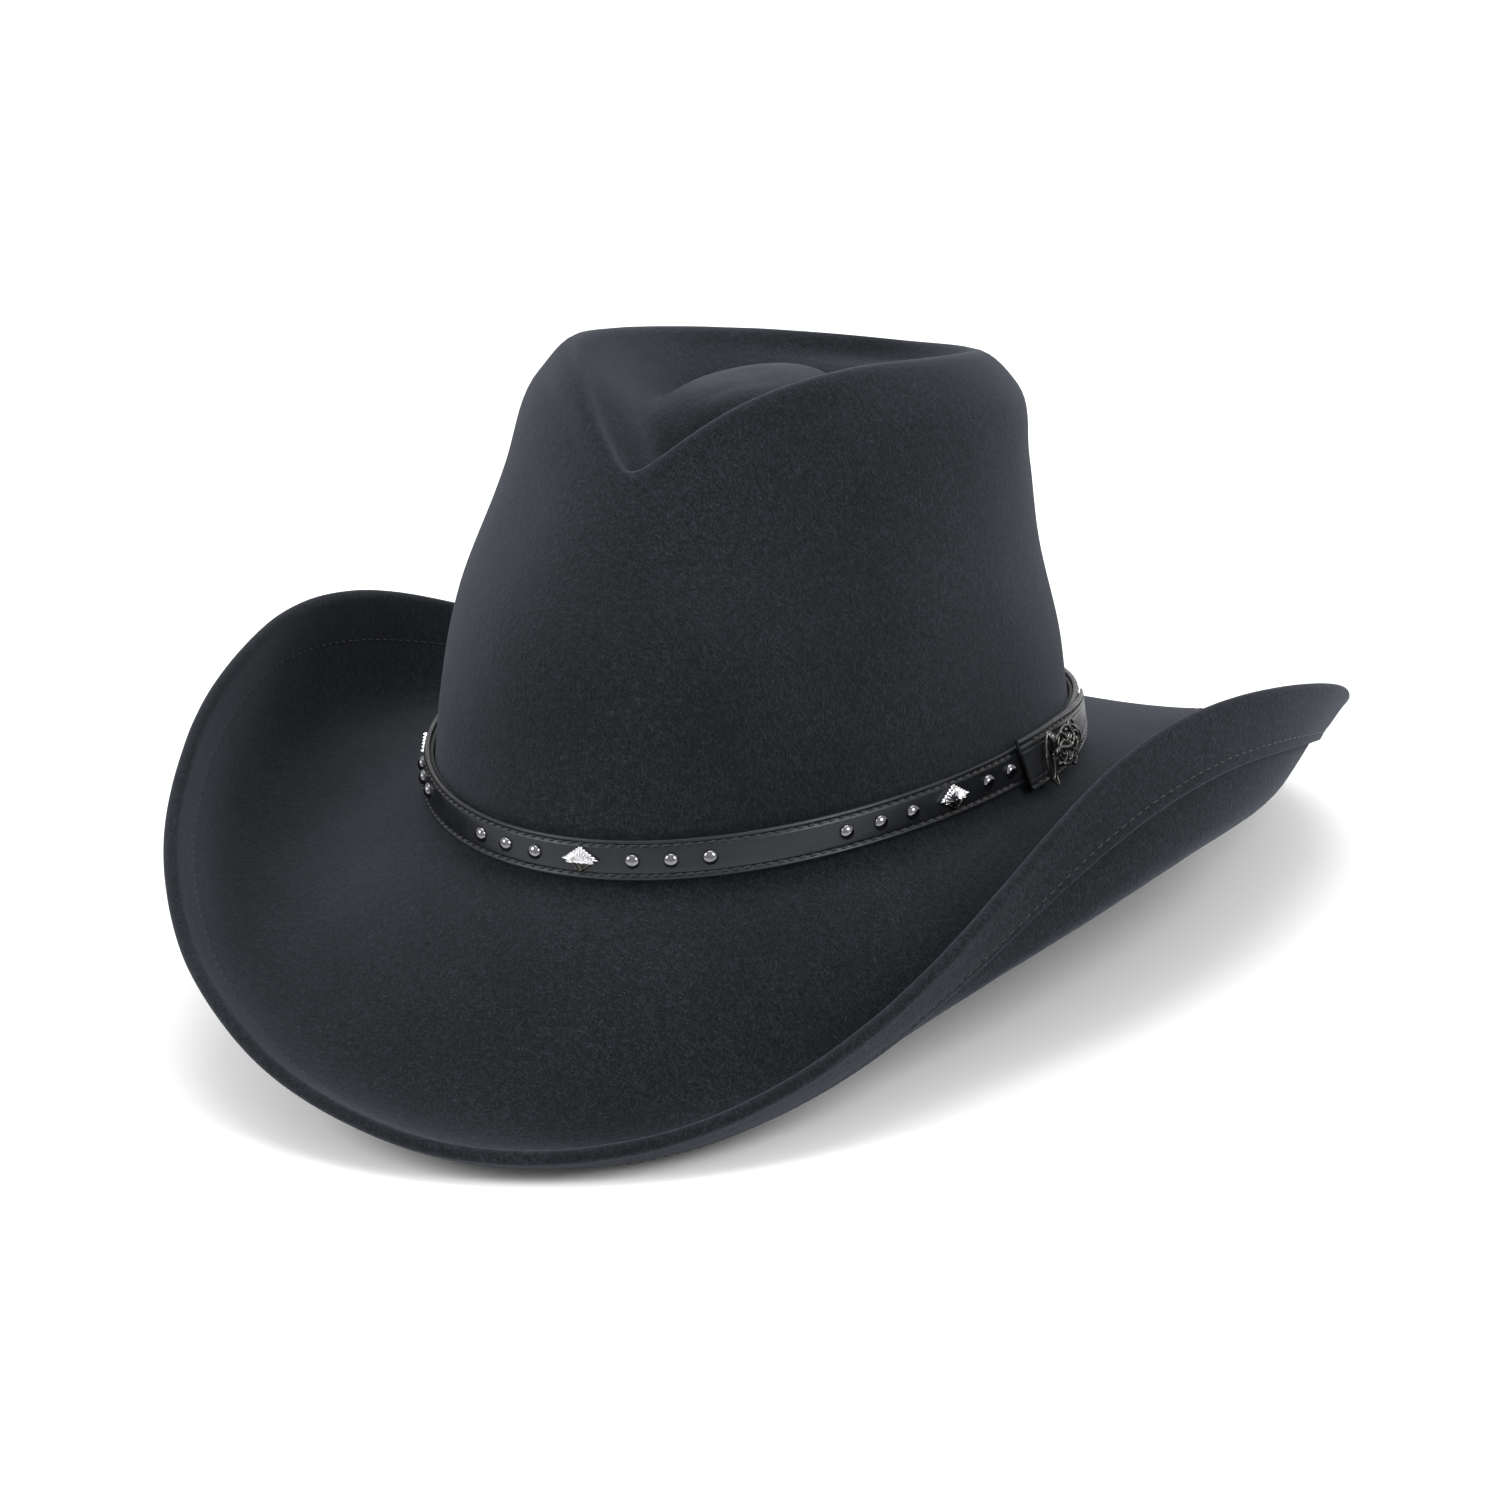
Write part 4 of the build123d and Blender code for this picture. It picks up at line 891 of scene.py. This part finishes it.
def ribbon(path, wide, thick=0.28):
    """A ribbon along a path of (side, up, in) points, as wide as given at each point."""
    path = np.array(path, float)
    ahead = unit(np.gradient(path, axis=0))
    across = unit(np.cross(ahead, (0, 0, 1.0)) + 1e-9)
    flat_way = np.array([0, 1.0, 0.0]) * 0.35 + across * 0.65
    flat_way = unit(flat_way - ahead * (flat_way * ahead).sum(-1, keepdims=True))
    face_way = unit(np.cross(ahead, flat_way))
    front, back = [], []
    for k in range(len(path)):
        row = [path[k] + flat_way[k] * wide[k] * (c / 6 - 0.5) for c in range(7)]
        front.append([v + face_way[k] * thick / 2 for v in row])
        back.append([v - face_way[k] * thick / 2 for v in row])
    verts, faces = slab(front, back)
    return bow_at + verts[:, :1] * bow_side + verts[:, 1:2] * bow_up + verts[:, 2:] * bow_in, faces


bow_parts = []
for side in (-1, 1):
    t = np.linspace(0.02, 0.98, 36)
    loop = [(side * 8.6 * sin(pi * s), 0.5 * side * sin(2 * pi * s) + 1.3 * sin(pi * s),
             1.7 + 0.9 * sin(2 * pi * s)) for s in t]
    bow_parts.append(ribbon(loop, [1.2 + 2.4 * sin(pi * s) for s in t]))
    tail = [(side * (0.6 + 7.0 * s), -0.4 - 5.6 * s + 0.5 * sin(5 * s), 1.5 + 0.35 * sin(6 * s)) for s in t]
    bow_parts.append(ribbon(tail, [1.4 + 1.5 * s for s in t]))
knot_grid = []
for j in range(13):
    lift = -pi / 2 + pi * j / 12
    size = max(cos(lift), 0.02) ** 0.6
    knot_grid.append([bow_at + bow_side * 1.7 * np.sign(cos(k)) * abs(cos(k)) ** 0.7 * size
                      + bow_up * 2.1 * np.sign(sin(k)) * abs(sin(k)) ** 0.7 * size
                      + bow_in * (1.9 + 1.1 * sin(lift)) for k in np.linspace(0, 2 * pi, 25)[:-1]])
bow_parts.append((np.array(knot_grid).reshape(-1, 3), tube_faces(13, 24)))
verts, faces = joined(bow_parts)
piece("ribbon_bow", verts, faces, RIBBON_LOOK, "hat", ["sweatband_bow"])

# lining: a gathered satin side, a smooth tip and a twisted piping over their seam
SIDE_WALL, PLEATS = 0.35, 56
side_turns = np.linspace(0, 2 * pi, 1400, endpoint=False)
pleat_phase = side_turns * PLEATS + 1.1 * np.sin(side_turns * 5) + 0.9 * np.sin(side_turns * 13 + 1)
side_rows = np.linspace(0, 1, 30)


def lining_hoops(inset):
    """Hoops of the lining's side from its lower edge to the tip, this far in from its outer face."""
    low_edge = foot(side_turns, LINING_OUT - inset, LINING_LOW)
    tip_edge = points((TIP_WIDE - inset) * np.sin(side_turns),
                      TIP_BACK - (TIP_LONG - inset) * np.cos(side_turns), TIP_LEVEL - 0.2)
    outward = crown_outward(side_turns)
    hoops = []
    for share in side_rows:
        pleat = np.sin(pleat_phase) + 0.35 * np.sin(2 * pleat_phase + 0.6)
        fold = (-0.15 - 0.95 * share ** 1.3) * (1 + pleat) / 2
        belly = 0.8 * sin(pi * share)
        hoops.append(low_edge * (1 - share) + tip_edge * share + outward * (fold + belly)[:, None])
    return hoops


outside, inside = lining_hoops(0.0), lining_hoops(SIDE_WALL)
side_grid = np.array(outside + inside[::-1])
faces = tube_faces(len(side_grid), len(side_turns), closed=True)
lining = piece("lining_gathered_side", side_grid.reshape(-1, 3), faces, SATIN_LOOK, "hat",
               ["lining_side"])

tip_radii = [0.02] + list(np.linspace(0.08, 1.0, 26))
tip_turns = np.linspace(0, 2 * pi, 360, endpoint=False)


def tip_hoops(lift):
    hoops = []
    for r in tip_radii:
        pucker = 0.22 * r**8 * (1 + np.sin(tip_turns * 60 + 2 * np.sin(tip_turns * 3)))
        dome = 1.6 * (1 - r * r) + 0.10 * (1 + np.sin(6 * r + tip_turns * 2)) * (1 - r)
        hoops.append(points((TIP_WIDE - 1.0) * r * np.sin(tip_turns),
                            TIP_BACK - (TIP_LONG - 1.0) * r * np.cos(tip_turns),
                            TIP_LEVEL - LINING + 0.05 + lift + pucker + dome))
    return hoops


upper_tip, lower_tip = tip_hoops(0.35), tip_hoops(0.0)
tip_grid = np.array(upper_tip + lower_tip[::-1])
faces = tube_faces(len(tip_grid), len(tip_turns))
tip = piece("lining_smooth_tip", tip_grid.reshape(-1, 3), faces, SATIN_LOOK, "hat",
            ["lining_tip"])

piping_turns = np.linspace(0, 2 * pi, 2400, endpoint=False)
piping_line = points((TIP_WIDE - 2.4) * np.sin(piping_turns),
                     TIP_BACK - (TIP_LONG - 2.4) * np.cos(piping_turns), TIP_LEVEL - LINING - PIPING - 0.1)
verts, faces = loop_tube(piping_line, np.array([0, 0, 1.0]) + 0 * piping_line,
                         lambda at, turn: PIPING * (0.80 + 0.20 * np.abs(np.cos(turn))), twist=110)
piece("twisted_piping", verts, faces, PIPING_LOOK, "hat", ["lining_piping"])

# ---- the tab's ornament: a long loop, a folded leaf, open scrolls and a fine hanging wire --------
here, along_band, up_band, out_band = (
    way[0] for way in band_spots([ORNAMENT_AT], TAB_OUT + ORNAMENT_LIFT, BAND_MIDDLE))


def ornament_place(p):
    p = np.asarray(p, float)
    return here + p[:, :1] * along_band + p[:, 1:2] * up_band + p[:, 2:3] * out_band


def ornament_wire(path, thick, closed=True, ends=1.0):
    """A cast bar along a path of (along, up, out) points, thinner towards open ends."""
    path = np.asarray(path, float)
    verts, faces = loop_tube(path, np.array([0, 0, 1.0]) + 0 * path, lambda at, turn: thick * (
        1.0 + 0.10 * np.cos(2 * turn) - (1 - ends) * (2 * at - 1) ** 4), closed)
    return ornament_place(verts), faces


def scroll(x, y, turn, size, thick, turns_round=1.35, out=0.75, way=1):
    """A spiral of wire that starts at (x, y) in the direction turn and curls in."""
    path, px, py = [], x, y
    steps = 46
    for k in range(steps):
        s = k / (steps - 1)
        heading = turn + way * 2 * pi * turns_round * s**1.25
        stride = size * (1 - 0.72 * s) * 0.105
        px, py = px + stride * cos(heading), py + stride * sin(heading)
        path.append((px, py, out + 0.35 * sin(pi * s)))
    return ornament_wire(path, thick, closed=False, ends=0.55)


t = np.linspace(0, 2 * pi, 97)[:-1]
long_loop = points(-9.3 + 1.9 * np.sign(np.cos(t)) * np.abs(np.cos(t)) ** 0.9, 6.6 * np.sin(t),
                   0.95 + 0.25 * np.cos(t))
ornament = [ornament_wire(long_loop, 0.62)]
leaf_front, leaf_back = [], []
for s in np.linspace(0, 1, 22):
    wide = 0.25 + 2.3 * sin(pi * min(1.0, 0.12 + 0.9 * s)) ** 0.7
    row = np.linspace(-1, 1, 9)
    base = np.array([-9.9 + 1.2 * sin(2.4 * s), 6.9 - 5.4 * s, 1.5 + 1.1 * sin(pi * s) ** 1.2])
    across = np.array([cos(0.35 + 0.5 * s), sin(0.35 + 0.5 * s), 0.0])
    leaf_front.append([base + across * wide / 2 * c + (0, 0, 0.45 * (1 - c * c) + 0.12 * cos(9 * c))
                       for c in row])
    leaf_back.append([base + across * wide / 2 * c + (0, 0, 0.45 * (1 - c * c) - 0.35) for c in row])
verts, faces = slab(leaf_front, leaf_back)
ornament.append((ornament_place(verts), faces))
spine = [(-8.2 + 17.5 * s, 0.7 * sin(7 * s), 1.05 + 0.35 * sin(pi * s)) for s in np.linspace(0, 1, 50)]
ornament.append(ornament_wire(spine, 0.62, closed=False, ends=0.5))
for x, y, turn, size, thick, way in (
        (-6.6, 0.3, 1.1, 7.4, 0.50, -1), (-3.4, 0.4, 1.2, 8.4, 0.52, -1), (0.2, 0.3, 1.05, 8.6, 0.52, -1),
        (3.6, 0.2, 1.0, 7.0, 0.46, -1), (-6.0, -0.3, -1.1, 7.2, 0.50, 1), (-2.8, -0.4, -1.2, 8.2, 0.52, 1),
        (0.8, -0.3, -1.05, 8.4, 0.52, 1), (4.2, -0.2, -1.0, 6.8, 0.46, 1), (6.6, 0.3, 0.6, 5.0, 0.42, 1),
        (6.8, -0.4, -0.6, 5.0, 0.42, -1)):
    ornament.append(scroll(x, y, turn, size, thick, way=way))
hanging = [(-10.6 + 3.4 * s + 0.5 * sin(pi * s), -5.6 - 2.7 * sin(pi * s) ** 0.8, 1.1 + 0.9 * sin(pi * s))
           for s in np.linspace(0, 1, 40)]
ornament.append(ornament_wire(hanging, 0.24, closed=False, ends=0.9))
profile = [(0.62 * cos(a), 0.62 * sin(a)) for a in np.linspace(-1.3, 1.3, 9)]
ball, ball_faces = turned_shape([(0.05, -0.62)] + profile + [(0, 0.63)], 14)
for x, y in ((-4.9, 3.4), (-1.4, 4.5), (2.4, 4.3), (-4.3, -3.5), (-0.8, -4.5), (3.0, -4.2), (9.3, 0.1)):
    ornament.append((ornament_place(ball * 1.05 + (x, y, 1.15)), ball_faces))
verts, faces = joined(ornament)
piece("cast_ornament", verts, faces, ANTIQUE_LOOK, "hatband", ["tab_ornament"])

profile = [(0.60, -2.3), (0.62, 1.35), (1.22, 1.42), (1.28, 1.60)]
profile += [(1.25 * cos(a), 1.60 + 0.45 * sin(a)) for a in (0.4, 0.8, 1.2)]
rivet, rivet_faces = turned_shape(profile + [(0, 2.05)], 24)
verts, faces = joined([(ornament_place(rivet + (x, 0, 0)), rivet_faces) for x in RIVETS])
piece("domed_rivets", verts, faces, ANTIQUE_LOOK, "hatband", ["ornament_rivets"])

# ---- studio --------------------------------------------------------------------------------------
def light(name, place, power, size):
    """A round soft light that shines on the middle of the hat."""
    data = bpy.data.lights.new(name, "AREA")
    data.energy, data.shape, data.size = power, "DISK", size
    made = bpy.data.objects.new(name, data)
    bpy.context.scene.collection.objects.link(made)
    made.location = place
    made.rotation_euler = (Vector((0, 0, 0.09)) - Vector(place)).to_track_quat("-Z", "Y").to_euler()


floor_mesh = bpy.data.meshes.new("floor")
reach = 3.0
floor_mesh.from_pydata([(-reach, -reach, 0), (reach, -reach, 0), (reach, reach, 0), (-reach, reach, 0)],
                       [], [(0, 1, 2, 3)])
floor = bpy.data.objects.new("floor", floor_mesh)
bpy.context.scene.collection.objects.link(floor)
floor_mesh.materials.append(shader("floor_look", Roughness=0.6, Base_Color=(0.95, 0.95, 0.95, 1))[0])

world = bpy.data.worlds.new("studio")
bpy.context.scene.world = world
world.use_nodes = True
world.node_tree.nodes["Background"].inputs["Color"].default_value = (1, 1, 1, 1)
world.node_tree.nodes["Background"].inputs["Strength"].default_value = 0.9

light("key_left", (-0.9, -0.9, 0.9), 11, 0.8)
light("key_right", (1.1, -0.3, 0.8), 11, 0.7)
light("top", (0.0, 0.2, 1.4), 12, 1.2)

# camera: fitted to the outline of the hat, in the hat's own frame before it leans
AZIMUTH, ELEVATION, ROLL, FAR = radians(27.79), radians(15.97), radians(-2.07), 2273.0
AIM_RIGHT, AIM_UP, AIM_LEVEL = -1.32, -26.29, 30.0
SENSOR, PICTURE, SCALE = 36, 1500, 3.615      # millimetres, pixels, pixels of the picture to a millimetre
back = np.array([sin(AZIMUTH) * cos(ELEVATION), -cos(AZIMUTH) * cos(ELEVATION), sin(ELEVATION)])
right = np.array([cos(AZIMUTH), sin(AZIMUTH), 0.0])
above = np.cross(back, right)
target = np.array([0, 0, AIM_LEVEL]) + right * AIM_RIGHT + above * AIM_UP
rolled_right = right * cos(ROLL) + above * sin(ROLL)
rolled_up = -right * sin(ROLL) + above * cos(ROLL)
eye = stand(target + back * FAR) * MM
axes = [leaned(v) for v in (rolled_right, rolled_up, back)]
camera_data = bpy.data.cameras.new("camera")
camera_data.lens = SENSOR * SCALE * FAR / PICTURE
camera_data.clip_end = 20
camera = bpy.data.objects.new("camera", camera_data)
bpy.context.scene.collection.objects.link(camera)
camera.matrix_world = Matrix([[way[k] for way in axes] + [eye[k]] for k in range(3)] + [[0, 0, 0, 1]])
bpy.context.scene.camera = camera
bpy.context.scene.view_settings.view_transform = "Standard"
